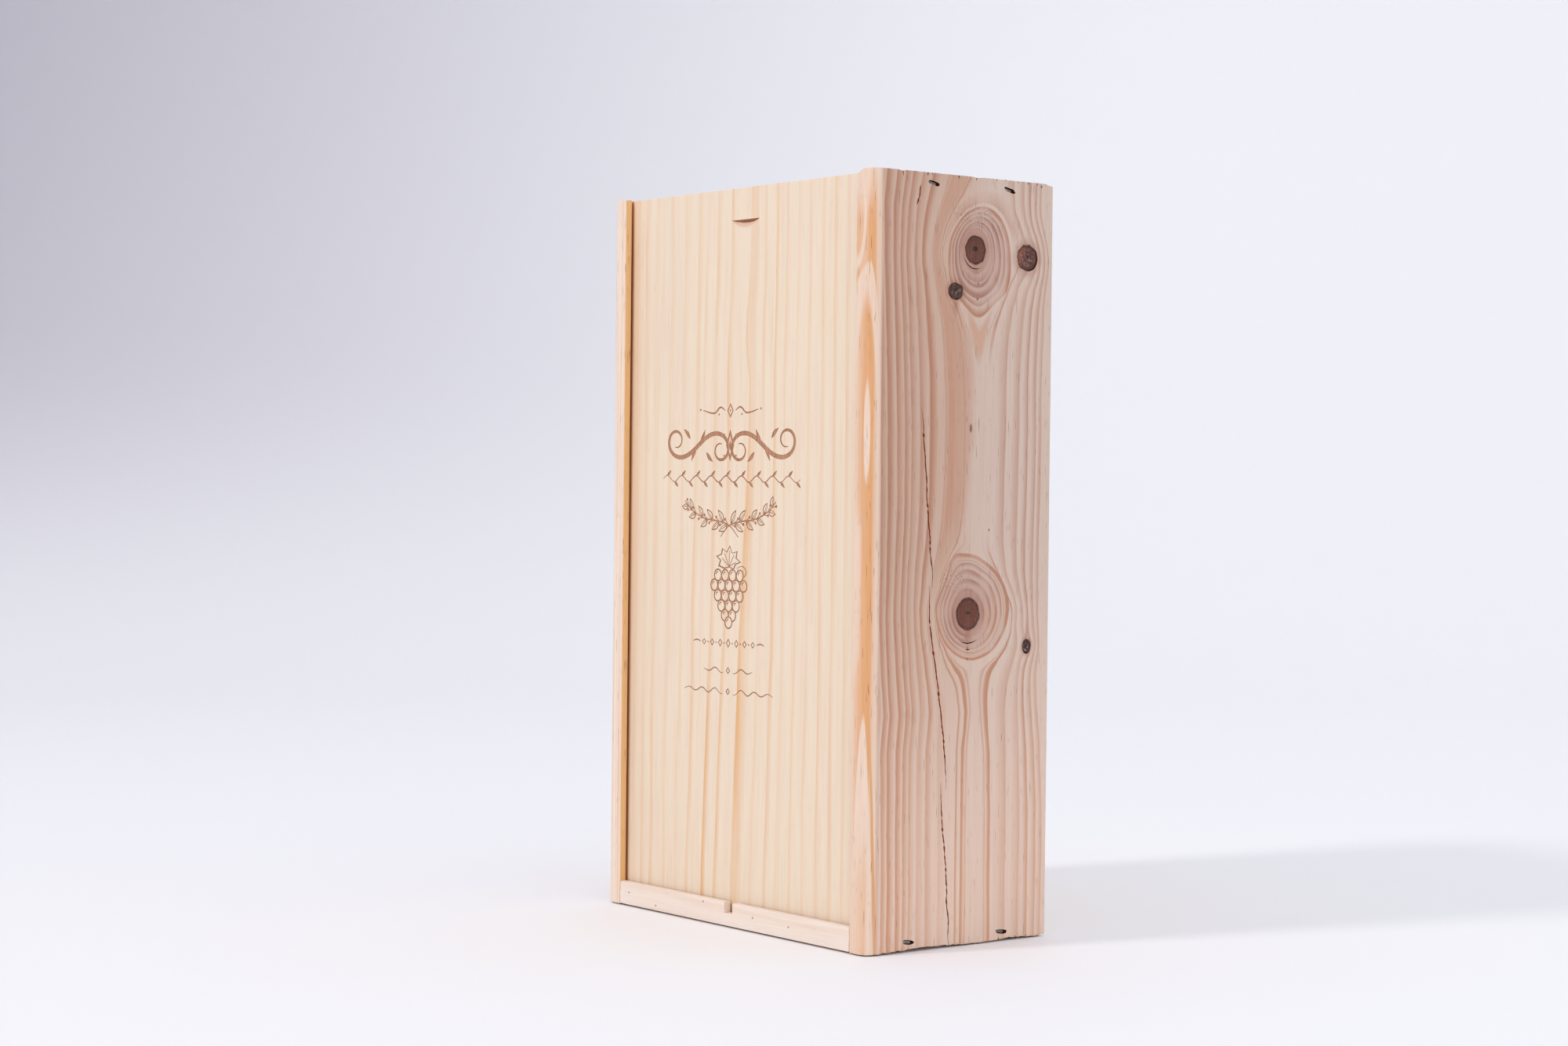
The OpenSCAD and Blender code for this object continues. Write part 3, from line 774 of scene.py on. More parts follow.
finishes = {
    "right": sideBoardWood(rightFigure),
    "left": sideBoardWood(leftFigure),
    "lid": lidWood(),
    "end": plainWood("endPine"),
    "panel": plainWood("panelPine"),
    "divider": plainWood("dividerPine"),
    "steel": stapleSteel(),
    **{kind: bareWood(kind) for kind in bareWoods},
}
print("materials made:", len(finishes))


def roundedOutline(corners, spacing):
    # Points round a section. Corners are (across, deep, radius), anticlockwise.
    points = []
    count = len(corners)
    for i, (u, v, radius) in enumerate(corners):
        here = Vector((u, v))
        before = (Vector(corners[i - 1][:2]) - here).normalized()
        after = (Vector(corners[(i + 1) % count][:2]) - here).normalized()
        if radius > 0:
            centre = here + (before + after) * radius
            steps = max(2, round(radius * 2.4))
            turns = [k / steps * math.pi / 2 for k in range(steps + 1)]
            arc = [centre - (after * math.cos(turn) + before * math.sin(turn)) * radius for turn in turns]
        else:
            arc = [here]
        points += arc
        following = corners[(i + 1) % count]
        goal = Vector(following[:2])
        goal = goal + (here - goal).normalized() * following[2]
        leg = goal - arc[-1]
        parts = max(1, round(leg.length / spacing))
        points += [arc[-1] + leg * (k / parts) for k in range(1, parts)]
    return points


def inward(points):
    # Unit steps towards the wood, square to an anticlockwise outline
    steps = []
    for i, here in enumerate(points):
        one = (here - points[i - 1]).normalized()
        two = (points[(i + 1) % len(points)] - here).normalized()
        way = Vector((-one.y - two.y, one.x + two.x))
        steps.append(way.normalized() if way.length > 1e-6 else Vector((-two.y, two.x)))
    return steps


def anticlockwise(outline):
    turn = sum(a[0] * b[1] - b[0] * a[1] for a, b in zip(outline, outline[1:] + outline[:1]))
    return outline if turn > 0 else outline[::-1]


def isInside(point, outline):
    x, y = point
    inside = False
    last = outline[-1]
    for here in outline:
        if (here[1] > y) != (last[1] > y):
            if x < (last[0] - here[0]) * (y - here[1]) / (last[1] - here[1]) + here[0]:
                inside = not inside
        last = here
    return inside


def capPattern(outline, spacing):
    # Triangles that fill an outline, over its own points and a scatter of points inside
    dice = random.Random(5)
    us, vs = [p[0] for p in outline], [p[1] for p in outline]
    extra = []
    for row in range(1, int((max(vs) - min(vs)) / spacing) + 1):
        for column in range(1, int((max(us) - min(us)) / spacing) + 1):
            spot = Vector((min(us) + column * spacing + dice.uniform(-0.3, 0.3) * spacing,
                           min(vs) + row * spacing + dice.uniform(-0.3, 0.3) * spacing))
            near = min((spot - p).length_squared for p in outline)
            if near > (spacing * 0.4) ** 2 and isInside(spot, outline):
                extra.append(spot)
    points = [Vector(p) for p in outline] + extra
    result = delaunay_2d_cdt(points, [], [list(range(len(outline)))], 1, 1e-5)
    return result[0], result[2]


def asDrawn(u, v, w):
    return Vector((u, v, w))


def plankMesh(name, plan):
    # A board swept from its section, with sawn ends and edges that are worn a little unevenly
    outline = roundedOutline(plan["corners"], plan["spacing"])
    steps = inward(outline)
    low, high = plan["ends"]
    saw, wear, place = plan["saw"], plan["wear"], plan.get("place", asDrawn)
    ends = [0, 0.12, 0.35, 0.8, 1.8, 4, 8]  # mm from a sawn end
    wornReach, sawReach = 0.9, 6  # mm from the end that the wear and the saw's slant reach
    long = high - low - 2 * ends[-1]
    parts = max(1, round(long / 24))
    stations = [low + d for d in ends]
    stations += [low + ends[-1] + long * k / parts for k in range(1, parts)]
    stations += [high - d for d in reversed(ends)]

    def worn(point, isTop):
        # How far the sharp edge of the end is worn in at a point of the section
        rough = 0.55 + 0.9 * noise.noise(Vector((point.x * 0.8, point.y * 0.8, 3 if isTop else 9)))
        return wear * max(0.2, rough)

    def drop(point, isTop):
        # How far the saw and knocks took the end back at a point of the section
        spot = Vector((point.x * 0.9, point.y * 0.9, 7.0 if isTop else 1.0))
        rough = saw if isTop else plan.get("foot", saw)
        depth = rough * (0.5 + 0.5 * noise.noise(spot)) + rough * 0.5 * (0.5 + 0.5 * noise.noise(spot * 3.1))
        for chip in plan.get("chips", []):
            if chip["top"] == isTop:
                away = (point - Vector(chip["at"])).length / chip["radius"]
                away += 0.3 * noise.noise(spot * 1.3)
                depth += chip["depth"] * max(0, 1 - away)
        return depth

    body = bmesh.new()
    rings = []
    for w in stations:
        isTop = w > (low + high) / 2
        gap = min(w - low, high - w)
        ring = []
        for point, step in zip(outline, steps):
            spot = point + step * worn(point, isTop) * max(0, 1 - gap / wornReach) ** 2
            back = drop(point, isTop) * max(0, 1 - gap / sawReach)
            ring.append(body.verts.new(place(spot.x, spot.y, w - back if isTop else w + back)))
        rings.append(ring)
    for w, lower, upper in zip(stations, rings, rings[1:]):
        for i in range(len(outline)):
            j = (i + 1) % len(outline)
            if not ("open" in plan and plan["open"](outline[i], outline[j], w)):
                body.faces.new((lower[i], lower[j], upper[j], upper[i]))
    for ring, isTop in ((rings[0], False), (rings[-1], True)):
        flat = [point + step * worn(point, isTop) for point, step in zip(outline, steps)]
        points, faces = capPattern(flat, plan["grid"])
        verts = list(ring)
        for point in points[len(flat):]:
            back = drop(point, isTop)
            verts.append(body.verts.new(place(point.x, point.y, high - back if isTop else low + back)))
        for face in faces:
            if all(i < len(verts) for i in face):
                try:
                    body.faces.new([verts[i] for i in face])
                except ValueError:
                    pass
    bmesh.ops.recalc_face_normals(body, faces=body.faces)
    return finishedMesh(name, body)


def softenEdges(piece):
    piece.data.shade_smooth()
    piece.data.set_sharp_from_angle(angle=math.radians(35))


def addPiece(name, mesh, materials, bodyName, node):
    mesh.transform(Matrix.Scale(mm, 4))
    piece = addObject(name, mesh)
    for material in materials:
        mesh.materials.append(material)
    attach(piece, bodyName)
    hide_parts(node)
    softenEdges(piece)
    return piece


def cutterObject(prisms, material):
    # Closed wedges: each is (outline on the face, how deep, how much narrower below, place). A point of
    # an outline may name the point that its foot draws in to; otherwise that is the middle.
    proud = 0.6
    body = bmesh.new()
    for outline, deep, narrow, place in prisms:
        middle = [sum(p[k] for p in outline) / len(outline) for k in (0, 1)]
        top, foot = [], []
        for point in outline:
            u, v = point[:2]
            goal = point[2:] or middle
            top.append(body.verts.new(place(u, v, -proud)))
            foot.append(body.verts.new(place(u + (goal[0] - u) * narrow, v + (goal[1] - v) * narrow, deep)))
        body.faces.new(top)
        body.faces.new(foot[::-1])
        for i in range(len(top)):
            j = (i + 1) % len(top)
            body.faces.new((top[j], top[i], foot[i], foot[j]))
    bmesh.ops.recalc_face_normals(body, faces=body.faces)
    mesh = finishedMesh("cutter", body)
    mesh.transform(Matrix.Scale(mm, 4))
    mesh.materials.append(material)
    return addObject("cutter", mesh)


def cutAway(piece, cutter):
    change = piece.modifiers.new("cut", "BOOLEAN")
    change.operation = "DIFFERENCE"
    change.solver = "EXACT"
    change.material_mode = "TRANSFER"
    change.object = cutter
    bpy.context.view_layer.update()
    graph = bpy.context.evaluated_depsgraph_get()
    mesh = bpy.data.meshes.new_from_object(piece.evaluated_get(graph))
    piece.modifiers.clear()
    piece.data = mesh
    bpy.data.objects.remove(cutter)
    softenEdges(piece)


def crackOutline(path, width, seed):
    # A thin split along a path of (across, up), widest in the middle. Each point names its place on the
    # centre line too, which the foot of the cut draws in to.
    left, right, fine = [], [], []
    for (a, b), (c, d) in zip(path, path[1:]):
        parts = max(1, round(math.hypot(c - a, d - b) / 1.4))
        fine += [Vector((a + (c - a) * k / parts, b + (d - b) * k / parts)) for k in range(parts)]
    fine.append(Vector(path[-1]))
    for i, spot in enumerate(fine):
        way = (fine[min(i + 1, len(fine) - 1)] - fine[max(i - 1, 0)]).normalized()
        side = Vector((way.y, -way.x))
        share = i / (len(fine) - 1)
        shake = noise.noise(Vector((seed, spot.y * 0.6, 0)))
        bend = noise.noise(Vector((seed + 5, spot.y * 0.12, 0))) * 0.5
        bend += noise.noise(Vector((seed + 9, spot.y * 0.7, 0))) * 0.22
        spot = spot + side * bend
        half = width / 2 * min(1, 5 * share + 0.12, 5 * (1 - share) + 0.12) * max(0.25, 1 + 1.5 * shake)
        left.append((*(spot + side * half), *spot))
        right.append((*(spot - side * half), *spot))
    return left + right[::-1]


def pitOutline(at, size, turn, seed):
    # The ragged hole that a driven staple leaves
    points = []
    for k in range(22):
        angle = k / 22 * 2 * math.pi
        shake = 1 + 0.28 * noise.noise(Vector((math.cos(angle) * 1.6, math.sin(angle) * 1.6, seed)))
        u = math.copysign(abs(math.cos(angle)) ** 0.6, math.cos(angle)) * size[0] / 2 * shake
        v = math.copysign(abs(math.sin(angle)) ** 0.8, math.sin(angle)) * size[1] / 2 * shake
        points.append((at[0] + u * math.cos(turn) - v * math.sin(turn),
                       at[1] + u * math.sin(turn) + v * math.cos(turn)))
    return points


def arcOutline(at, radius, start, end, width):
    # A curved gap beside a knot, pointed at both ends; angles in degrees from the rear, upwards
    outer, inner = [], []
    for k in range(19):
        share = k / 18
        angle = math.radians(start + (end - start) * share)
        half = width / 2 * math.sin(math.pi * min(max(share, 0.03), 0.97))
        shake = 1 + 0.02 * noise.noise(Vector((k * 0.7, at[0], 0)))
        wide, high = radius[0] * shake, radius[1] * shake
        middle = (at[0] + wide * math.cos(angle), at[1] + high * math.sin(angle))
        for edge, step in ((outer, half), (inner, -half)):
            edge.append((at[0] + (wide + step) * math.cos(angle),
                         at[1] + (high + step) * math.sin(angle), *middle))
    return outer + inner[::-1]


sideSection = {
    "thickness": 11.99, "depth": 108.49, "lip": 3.6, "grooveDeep": 6, "grooveWide": 6.5, "panel": 5,
    "rebate": 6, "round": 6, "arris": 0.6, "fine": 0.22,
    "staples": [(34.5, 345.9, -13), (80.5, 345.9, -13), (24.4, 4.6, -8), (80.5, 4.6, -8)],  # back, up, turn
    "pit": (7.3, 2.0), "pitDeep": 1.9, "pitOff": 0.4, "nickFrom": 14, "nickSpan": 92, "gapDeep": 1.8,
}


def sideCorners():
    s = sideSection
    grooveBack = s["lip"] + s["grooveWide"]
    rear = s["depth"] - s["panel"]
    return [
        (0, 0, s["arris"]), (s["thickness"], 0, s["round"]), (s["thickness"], s["depth"], s["arris"]),
        (s["rebate"], s["depth"], s["fine"]), (s["rebate"], rear, 0), (0, rear, s["fine"]),
        (0, grooveBack, s["fine"]), (s["grooveDeep"], grooveBack, 0), (s["grooveDeep"], s["lip"], 0),
        (0, s["lip"], s["fine"]),
    ]


rightBoard = {
    "nicks": 15,
    "nickSeed": 4,
    "top": 350.7,
    "saw": 0.28,
    "wear": 0.32,
    "chips": [
        {"top": True, "at": (0.6, 0.4), "radius": 3.6, "depth": 1.6},
        {"top": True, "at": (11.6, 107.5), "radius": 3.6, "depth": 1.2},
        {"top": True, "at": (12, 17), "radius": 2.2, "depth": 0.8},
        {"top": True, "at": (12, 61), "radius": 3, "depth": 0.5},
        {"top": False, "at": (12, 107), "radius": 5, "depth": 0.9},
        {"top": False, "at": (11, 34), "radius": 38, "depth": 1.3},
        {"top": False, "at": (11, 86), "radius": 20, "depth": 1.0},
    ],
    "cracks": [
        {"path": [(29.3, 245), (31.5, 224), (33, 205), (34.5, 188), (36.3, 172), (36.9, 164)],
         "width": 0.94, "deep": 1.2, "seed": 1},
        {"path": [(34.9, 165), (35.1, 150), (37.2, 137), (40.5, 120), (42.2, 110), (43.8, 98), (45.3, 86),
                  (46.5, 72)],
         "width": 0.94, "deep": 1.2, "seed": 2},
        {"path": [(42.8, 75), (43.6, 62), (44.9, 50), (46.4, 37), (47.3, 25), (48.2, 11), (48.9, -1)],
         "width": 0.86, "deep": 1.2, "seed": 6},
        {"path": [(27.2, 344.7), (26.6, 340), (24.9, 335.2)], "width": 0.9, "deep": 1.6, "seed": 3},
        {"path": [(16.9, 352), (16.9, 347.6)], "width": 0.5, "deep": 2, "seed": 4},
    ],
    "gaps": [
        {"at": (60.4, 317.3), "radius": (7.5, 8.6), "start": 195, "end": 302, "width": 0.6},
        {"at": (92.5, 315.5), "radius": (6.1, 6.0), "start": -110, "end": 62, "width": 0.9},
        {"at": (48.8, 298.1), "radius": (4.4, 3.8), "start": 150, "end": 330, "width": 0.5},
        {"at": (58.2, 151.5), "radius": (12, 13.3), "start": 244, "end": 300, "width": 0.6},
        {"at": (58.2, 151.5), "radius": (9, 16.3), "start": 262, "end": 280, "width": 0.6},
        {"at": (94.6, 135.9), "radius": (2.5, 3.3), "start": 180, "end": 350, "width": 0.6},
    ],
}

leftBoard = {
    "nicks": 10,
    "nickSeed": 9,
    "top": 350,
    "saw": 0.24,
    "wear": 0.3,
    "chips": [
        {"top": True, "at": (12, 70), "radius": 4, "depth": 0.6},
        {"top": False, "at": (11, 4), "radius": 12, "depth": 0.8},
    ],
    "cracks": [{"path": [(72, 352), (71, 338), (69, 322)], "width": 0.35, "deep": 2.5, "seed": 12}],
    "gaps": [{"at": (41.5, 97), "radius": (6.1, 6.7), "start": 20, "end": 150, "width": 0.5}],
}


def sideBoard(name, board, outside, material, node):
    def place(u, v, w):
        return Vector((outside * (innerFace + u), frontY + v, w))

    def onFace(back, up, deep):
        return Vector((outside * (outerFace - deep), frontY + back, up))

    mesh = plankMesh(name, {
        "corners": sideCorners(), "spacing": 1.3, "grid": 2.2, "ends": (0, board["top"]), "place": place,
        "saw": board["saw"], "foot": 0.5, "wear": board["wear"], "chips": board["chips"],
    })
    piece = addPiece(name, mesh, [material], "box", node)
    s = sideSection
    pits, splits, rifts = [], [], []
    for k, (back, up, turn) in enumerate(s["staples"]):
        outline = pitOutline((back + s["pitOff"], up), s["pit"], math.radians(turn), k + 3.5)
        pits.append((outline, s["pitDeep"], 0.15, onFace))
    dice = random.Random(board["nickSeed"])
    for edge, way in ((board["top"], -1), (0, 1)):
        for k in range(board["nicks"]):
            back = s["nickFrom"] + s["nickSpan"] * (k + dice.uniform(0.1, 0.9)) / board["nicks"]
            long, wide = dice.uniform(0.7, 2.6), dice.uniform(0.35, 1.3)
            points = [(back - wide / 2, edge - way), (back + wide / 2, edge - way),
                      (back + wide * 0.3, edge + way * long * 0.6), (back, edge + way * long)]
            splits.append((anticlockwise(points), 0.7 + wide * 0.5, 0.3, onFace))
    for gap in board["gaps"]:
        outline = arcOutline(gap["at"], gap["radius"], gap["start"], gap["end"], gap["width"])
        splits.append((outline, s["gapDeep"], 0.5, onFace))
    for crack in board["cracks"]:
        outline = crackOutline(crack["path"], crack["width"], crack["seed"])
        rifts.append((outline, crack["deep"], 0.75, onFace))
    for cuts, kind in ((pits, "torn"), (rifts, "rift"), (splits, "split")):
        cutAway(piece, cutterObject(cuts, finishes[kind]))


sideBoard("rightSideBoard", rightBoard, 1, finishes["right"], "right_side_board")
sideBoard("leftSideBoard", leftBoard, -1, finishes["left"], "left_side_board")
print("side boards made")


endBoards = {
    "arris": 0.6, "lip": 3.6, "grooveWide": 6.5, "grooveDeep": 6, "thickness": 12, "saw": 0.3, "wear": 0.4,
    "slot": 6.4, "slotDeep": 5.2,
}


def endBoard(name, corners, slotLow, slotHigh, node):
    mesh = plankMesh(name, {
        "corners": corners, "spacing": 1.6, "grid": 2.6, "ends": (-90, 90),
        "place": lambda u, v, w: Vector((w, u, v)), "saw": endBoards["saw"], "wear": endBoards["wear"],
    })
    piece = addPiece(name, mesh, [finishes["end"]], "box", node)
    half = endBoards["slot"] / 2
    outline = [(-half, -70), (half, -70), (half, 70), (-half, 70)]
    slot = (outline, slotHigh - slotLow, 0, lambda a, b, deep: Vector((a, b, slotHigh - max(deep, 0))))
    cutAway(piece, cutterObject([slot], finishes["end"]))


def makeEndBoards():
    e = endBoards
    top = e["thickness"]
    floor = top - e["grooveDeep"]  # of the lid's groove
    rear = panelLow.y
    lidFront = frontY + e["lip"]
    lidRear = lidFront + e["grooveWide"]
    closed = [
        (frontY, 0.9, 0.3), (rear, 0.3, 0.2), (rear, top, 0.2), (lidRear, top, 0.3), (lidRear, floor, 0),
        (lidFront, floor, 0), (lidFront, top, 0.3), (frontY, top, e["arris"]),
    ]
    endBoard("closedEndBoard", closed, top - e["slotDeep"], top + 1, "closed_end_board")
    opened = [
        (topLow.y, topLow.z, 0.3), (rear, topLow.z, 0.2), (rear, topHigh.z, 0.2),
        (topLow.y, topHigh.z, e["arris"]),
    ]
    endBoard("openEndBoard", opened, topLow.z - 1, topLow.z + e["slotDeep"], "open_end_board")


makeEndBoards()
print("end boards made")


backPanel = {
    "saw": 0.2, "wear": 0.25, "arris": 0.5,
    "sideStaples": [42, 130.667, 219.333, 308], "sideAt": 93, "endStaples": [-46, 46], "endInset": 6,
    "pit": (6.8, 1.9), "pitDeep": 1.35,
}


def panelCorners(low, high, rear, arris):
    return [(low.x, low.y, arris), (high.x, low.y, arris), (high.x, rear, arris), (low.x, rear, arris)]


def makeBackPanel():
    low, high = panelLow, panelHigh
    mesh = plankMesh("backPanel", {
        "corners": panelCorners(low, high, high.y - 0.01, backPanel["arris"]), "spacing": 1.8, "grid": 2.4,
        "ends": (low.z, high.z), "saw": backPanel["saw"], "wear": backPanel["wear"],
    })
    piece = addPiece("backPanel", mesh, [finishes["panel"]], "box", "back_panel")

    def onBack(across, up, deep):
        return Vector((across, high.y - deep, up))

    places = []
    for k, up in enumerate(backPanel["sideStaples"]):
        places += [((side * backPanel["sideAt"], up), math.pi / 2, k + side * 0.4) for side in (-1, 1)]
    for k, across in enumerate(backPanel["endStaples"]):
        for up in (backPanel["endInset"], high.z - backPanel["endInset"]):
            places.append(((across, up), 0, k + up))
    pits = [(pitOutline(at, backPanel["pit"], turn, seed), backPanel["pitDeep"], 0.1, onBack)
            for at, turn, seed in places]
    cutAway(piece, cutterObject(pits, finishes["torn"]))


divider = {"saw": 0.15, "wear": 0.2, "arris": 0.4}


def makeDivider():
    low, high = dividerLow, dividerHigh
    mesh = plankMesh("dividerBoard", {
        "corners": panelCorners(low, high, high.y, divider["arris"]), "spacing": 1.6, "grid": 1.6,
        "ends": (low.z, high.z), "saw": divider["saw"], "wear": divider["wear"],
    })
    addPiece("dividerBoard", mesh, [finishes["divider"]], "box", "divider")


makeBackPanel()
makeDivider()
print("back panel and divider made")


def smoothLine(points, parts=8):
    # A smooth line through the points
    fine = []
    ends = [points[0]] + list(points) + [points[-1]]
    for a, b, c, d in zip(ends, ends[1:], ends[2:], ends[3:]):
        for k in range(parts):
            t = k / parts
            fine.append(tuple(0.5 * (2 * q + (r - p) * t + (2 * p - 5 * q + 4 * r - s) * t * t
                                     + (3 * q - p - 3 * r + s) * t ** 3) for p, q, r, s in zip(a, b, c, d)))
    return fine + [tuple(points[-1])]


def stroke(points, width, ends=0.25):
    # The outline of a pen stroke that swells to its width in the middle
    left, right = [], []
    for i, spot in enumerate(points):
        after, before = points[min(i + 1, len(points) - 1)], points[max(i - 1, 0)]
        way = Vector((after[0] - before[0], after[1] - before[1])).normalized()
        share = i / (len(points) - 1)
        half = width / 2 * (ends + (1 - ends) * math.sin(math.pi * share) ** 0.8)
        left.append((spot[0] - way.y * half, spot[1] + way.x * half))
        right.append((spot[0] + way.y * half, spot[1] - way.x * half))
    return left + right[::-1]


def penLine(points, width, ends=0.25, parts=8):
    return stroke(smoothLine(points, parts), width, ends)


def dot(at, radius, count=14):
    turns = [k / count * 2 * math.pi for k in range(count)]
    return [(at[0] + radius * math.cos(turn), at[1] + radius * math.sin(turn)) for turn in turns]


def lozenge(at, wide, high):
    (u, v), half, rise = at, wide / 2, high / 2
    return [(u - half, v), (u, v - rise), (u + half, v), (u, v + rise)]


def shrunk(points, centre, share):
    centre = Vector(centre)
    return [tuple(centre + (Vector(p) - centre) * share) for p in points]


def leafOutline(base, tip, wide, bend=0.0):
    base, tip = Vector(base), Vector(tip)
    way = tip - base
    side = Vector((-way.y, way.x)).normalized()
    left, right = [], []
    for k in range(9):
        t = k / 8
        swell, bow = wide / 2 * math.sin(math.pi * t ** 0.85), bend * math.sin(math.pi * t)
        left.append(tuple(base + way * t + side * (swell + bow)))
        right.append(tuple(base + way * t + side * (bow - swell)))
    return left + right[-2:0:-1]


engraving = {
    "middle": -8.5,
    "deep": 0.25,
    "line": 0.42,  # width of the finest strokes
    "rule": {"up": 244.5, "half": 22},
    "scroll": {"up": 228, "aside": 25.5, "size": 25.5, "flat": 0.88, "turn": -36, "reach": 2.15},
    "vine": {"up": 212, "half": 54},
    "twigs": {"up": 190.5, "stem": [(-7, -6), (0, -0.6), (9, 1.4), (20, 2.6), (30, 6.4), (36, 11)]},
    "grapes": {"up": 161, "size": 3.1,
               "rows": [(4, 5.2), (5, 0.4), (4, -4.5), (3, -9.3), (2, -13.8), (1, -17.2)]},
    "grapeLeaf": [(0, 9), (-4, 8.2), (-8.6, 9.4), (-7.2, 12.2), (-10.4, 14.2), (-6.4, 15.2), (-5.6, 18.2),
                  (-2, 16.4), (0.6, 19.6), (2.6, 16), (6.8, 17), (6, 13.6), (9.6, 11.6), (5.4, 10.4), (4, 8)],
    "row": {"up": 134, "half": 23, "step": 6.4},
    "tendrils": [(121, 19), (111, 35)],
}


def engravedShapes():
    # Outlines on the lid as (points, level, is it cut); a higher level lies over a lower one
    shapes = []
    cx, line = engraving["middle"], engraving["line"]

    def ink(points, level=3):
        shapes.append((points, level, True))

    def paired(points, level=3):
        # The same on both sides of the middle
        ink([(cx + u, v) for u, v in points], level)
        ink([(cx - u, v) for u, v in points][::-1], level)

    def outlined(points, inner, level=1):
        shapes.append((points, level, True))
        shapes.append((inner, level + 1, False))

    def rule(up, half):
        outlined(lozenge((cx, up), 5, 7), lozenge((cx, up), 3.4, 4.8))
        ink(dot((cx, up), 0.5), 4)
        paired(penLine([(4, up), (8, up + 1.6), (13, up - 1.2), (half, up + 0.4)], 0.9))
        paired(dot((half + 1.8, up + 0.6), 0.55))
        paired(dot((9, up - 1.8), 0.5))

    def scrolls(up, aside, size, flat, turn, reach):
        # Two scrolls, whose bend grows steadily towards both ends
        count = 150
        path, x, y = [(0, 0)], 0, 0
        for k in range(count):
            along = (k + 0.5) / count * reach
            x += math.cos(math.pi * along * along / 2) * reach / count
            y += math.sin(math.pi * along * along / 2) * reach / count
            path.append((x, y))
        path = [(-a, -b) for a, b in path[:0:-1]] + path
        c, s = math.cos(math.radians(turn)), math.sin(math.radians(turn))
        turned = [(aside + size * (a * c - b * s), up + size * flat * (a * s + b * c)) for a, b in path]
        paired(stroke(turned[::2], 2.3, 0.2))
        for a, b, wide in (((19, -3.2), (13.5, -8), 2.2), ((32, 3.2), (37.5, 8), 2.2),
                           ((24, 1.4), (20, 7.6), 2.0), ((27, -1.4), (31, -7.6), 2.0)):
            paired(leafOutline((a[0], up + a[1]), (b[0], up + b[1]), wide, 0.4))
        outlined(lozenge((cx, up), 6.4, 15), lozenge((cx, up), 3.6, 10))
        ink(lozenge((cx, up), 1.6, 5), 4)
        for rise in (5, -5):
            paired(dot((4.6, up + rise), 0.6))

    def vine(up, half):
        wave = [(cx - half + k, up + 1.5 * math.sin(k / 12 * 2 * math.pi)) for k in range(2 * half + 1)]
        ink(stroke(wave, 0.62, 0.5))
        for k in range(9):
            u = -half + 3 + 12 * k
            ink(leafOutline((cx + u, up + 1.5), (cx + u + 3.4, up + 4.1), 1.5, -0.2))
            if u + 6 < half:
                ink(leafOutline((cx + u + 6, up - 1.5), (cx + u + 9.4, up - 4.1), 1.5, 0.2))

    def twig(side, up, stem):
        # A leafy twig, which crosses the other one below the middle; leaves and buds take turns
        points = smoothLine([(cx + side * u, up + v) for u, v in stem])
        ink(stroke(points, 0.75, 0.5), 5)
        for k in range(9):
            i = int(9 + k * (len(points) - 13) / 8.4)
            (ax, ay), (bx, by) = points[i], points[i + 1]
            heading = math.atan2(by - ay, bx - ax)
            for way in (-1, 1):
                isLeaf = (k + (way > 0)) % 2
                angle = heading + way * (0.72 if isLeaf else 0.5)
                long = 8.4 - 0.34 * k if isLeaf else 3.4
                tip = (ax + long * math.cos(angle), ay + long * math.sin(angle))
                if isLeaf:
                    outer = leafOutline((ax, ay), tip, 3.1, way * 0.35)
                    outlined(outer, shrunk(outer, ((ax + tip[0]) / 2, (ay + tip[1]) / 2), 0.7))
                    ink(penLine([(ax, ay), tuple(Vector((ax, ay)) * 0.3 + Vector(tip) * 0.7)], line, 0.6, 4))
                else:
                    ink(penLine([(ax, ay), tip], 0.4, 0.7, 4))
                    ink(dot(tip, 0.75), 4)

    def grapes(up, size, rows):
        # A small bunch, where each grape lies over the ones before
        level = 1
        for number, rise in rows:
            for k in range(number):
                u, v = cx + (k - (number - 1) / 2) * size * 1.86, up + rise
                level += 3
                outlined(dot((u, v), size, 26), dot((u, v), size - 0.75, 24), level)
                shine = [(-0.5, 0.05), (-0.33, 0.42), (0.05, 0.5)]
                ink(penLine([(u + size * a, v + size * b) for a, b in shine], 0.6, 0.4, 4), level + 2)
        outer = [(cx + u, up + v) for u, v in engraving["grapeLeaf"]]
        outlined(outer, shrunk(outer, (cx, up + 13), 0.86))
        for u, v in ((-7.4, 14), (-4.6, 16.4), (0.4, 17.6), (5.2, 15.8), (6.8, 12)):
            ink(penLine([(cx, up + 9.4), (cx + u * 0.8, up + v * 0.97)], line, 0.5, 5))
        curl = [(6, 8.6), (10.5, 9.8), (13.6, 7.2), (11.6, 4.6), (9.8, 6.2), (11.3, 7.4)]
        ink(penLine([(cx + u, up + v) for u, v in curl], 0.55, 0.4))

    def row(up, half, step):
        # Lozenges with dots between them
        for k in range(-3, 4):
            u, high = cx + k * step, 4.6 - abs(k) * 0.5
            outlined(lozenge((u, up), 3.4, high), lozenge((u, up), 2.1, high * 0.6))
            if k < 3:
                ink(dot((u + step / 2, up), 0.42))
        paired(penLine([(half - 1, up), (half + 2, up + 0.7), (half + 5, up)], 0.7))

    def tendrils(up, half):
        wave = []
        for k in range(8, int(half * 2) + 1):
            u = k * 0.5
            wave.append((u, up + 1.5 * math.cos(u / 5.2 * math.pi) * (1 - u / half * 0.6)))
        paired(stroke(wave, 0.6, 0.35))
        outlined(lozenge((cx, up), 3.4, 3.4), lozenge((cx, up), 1.9, 1.9))

    rule(**engraving["rule"])
    scrolls(**engraving["scroll"])
    vine(**engraving["vine"])
    for side in (-1, 1):
        twig(side, **engraving["twigs"])
    grapes(**engraving["grapes"])
    row(**engraving["row"])
    for up, half in engraving["tendrils"]:
        tendrils(up, half)
    return shapes


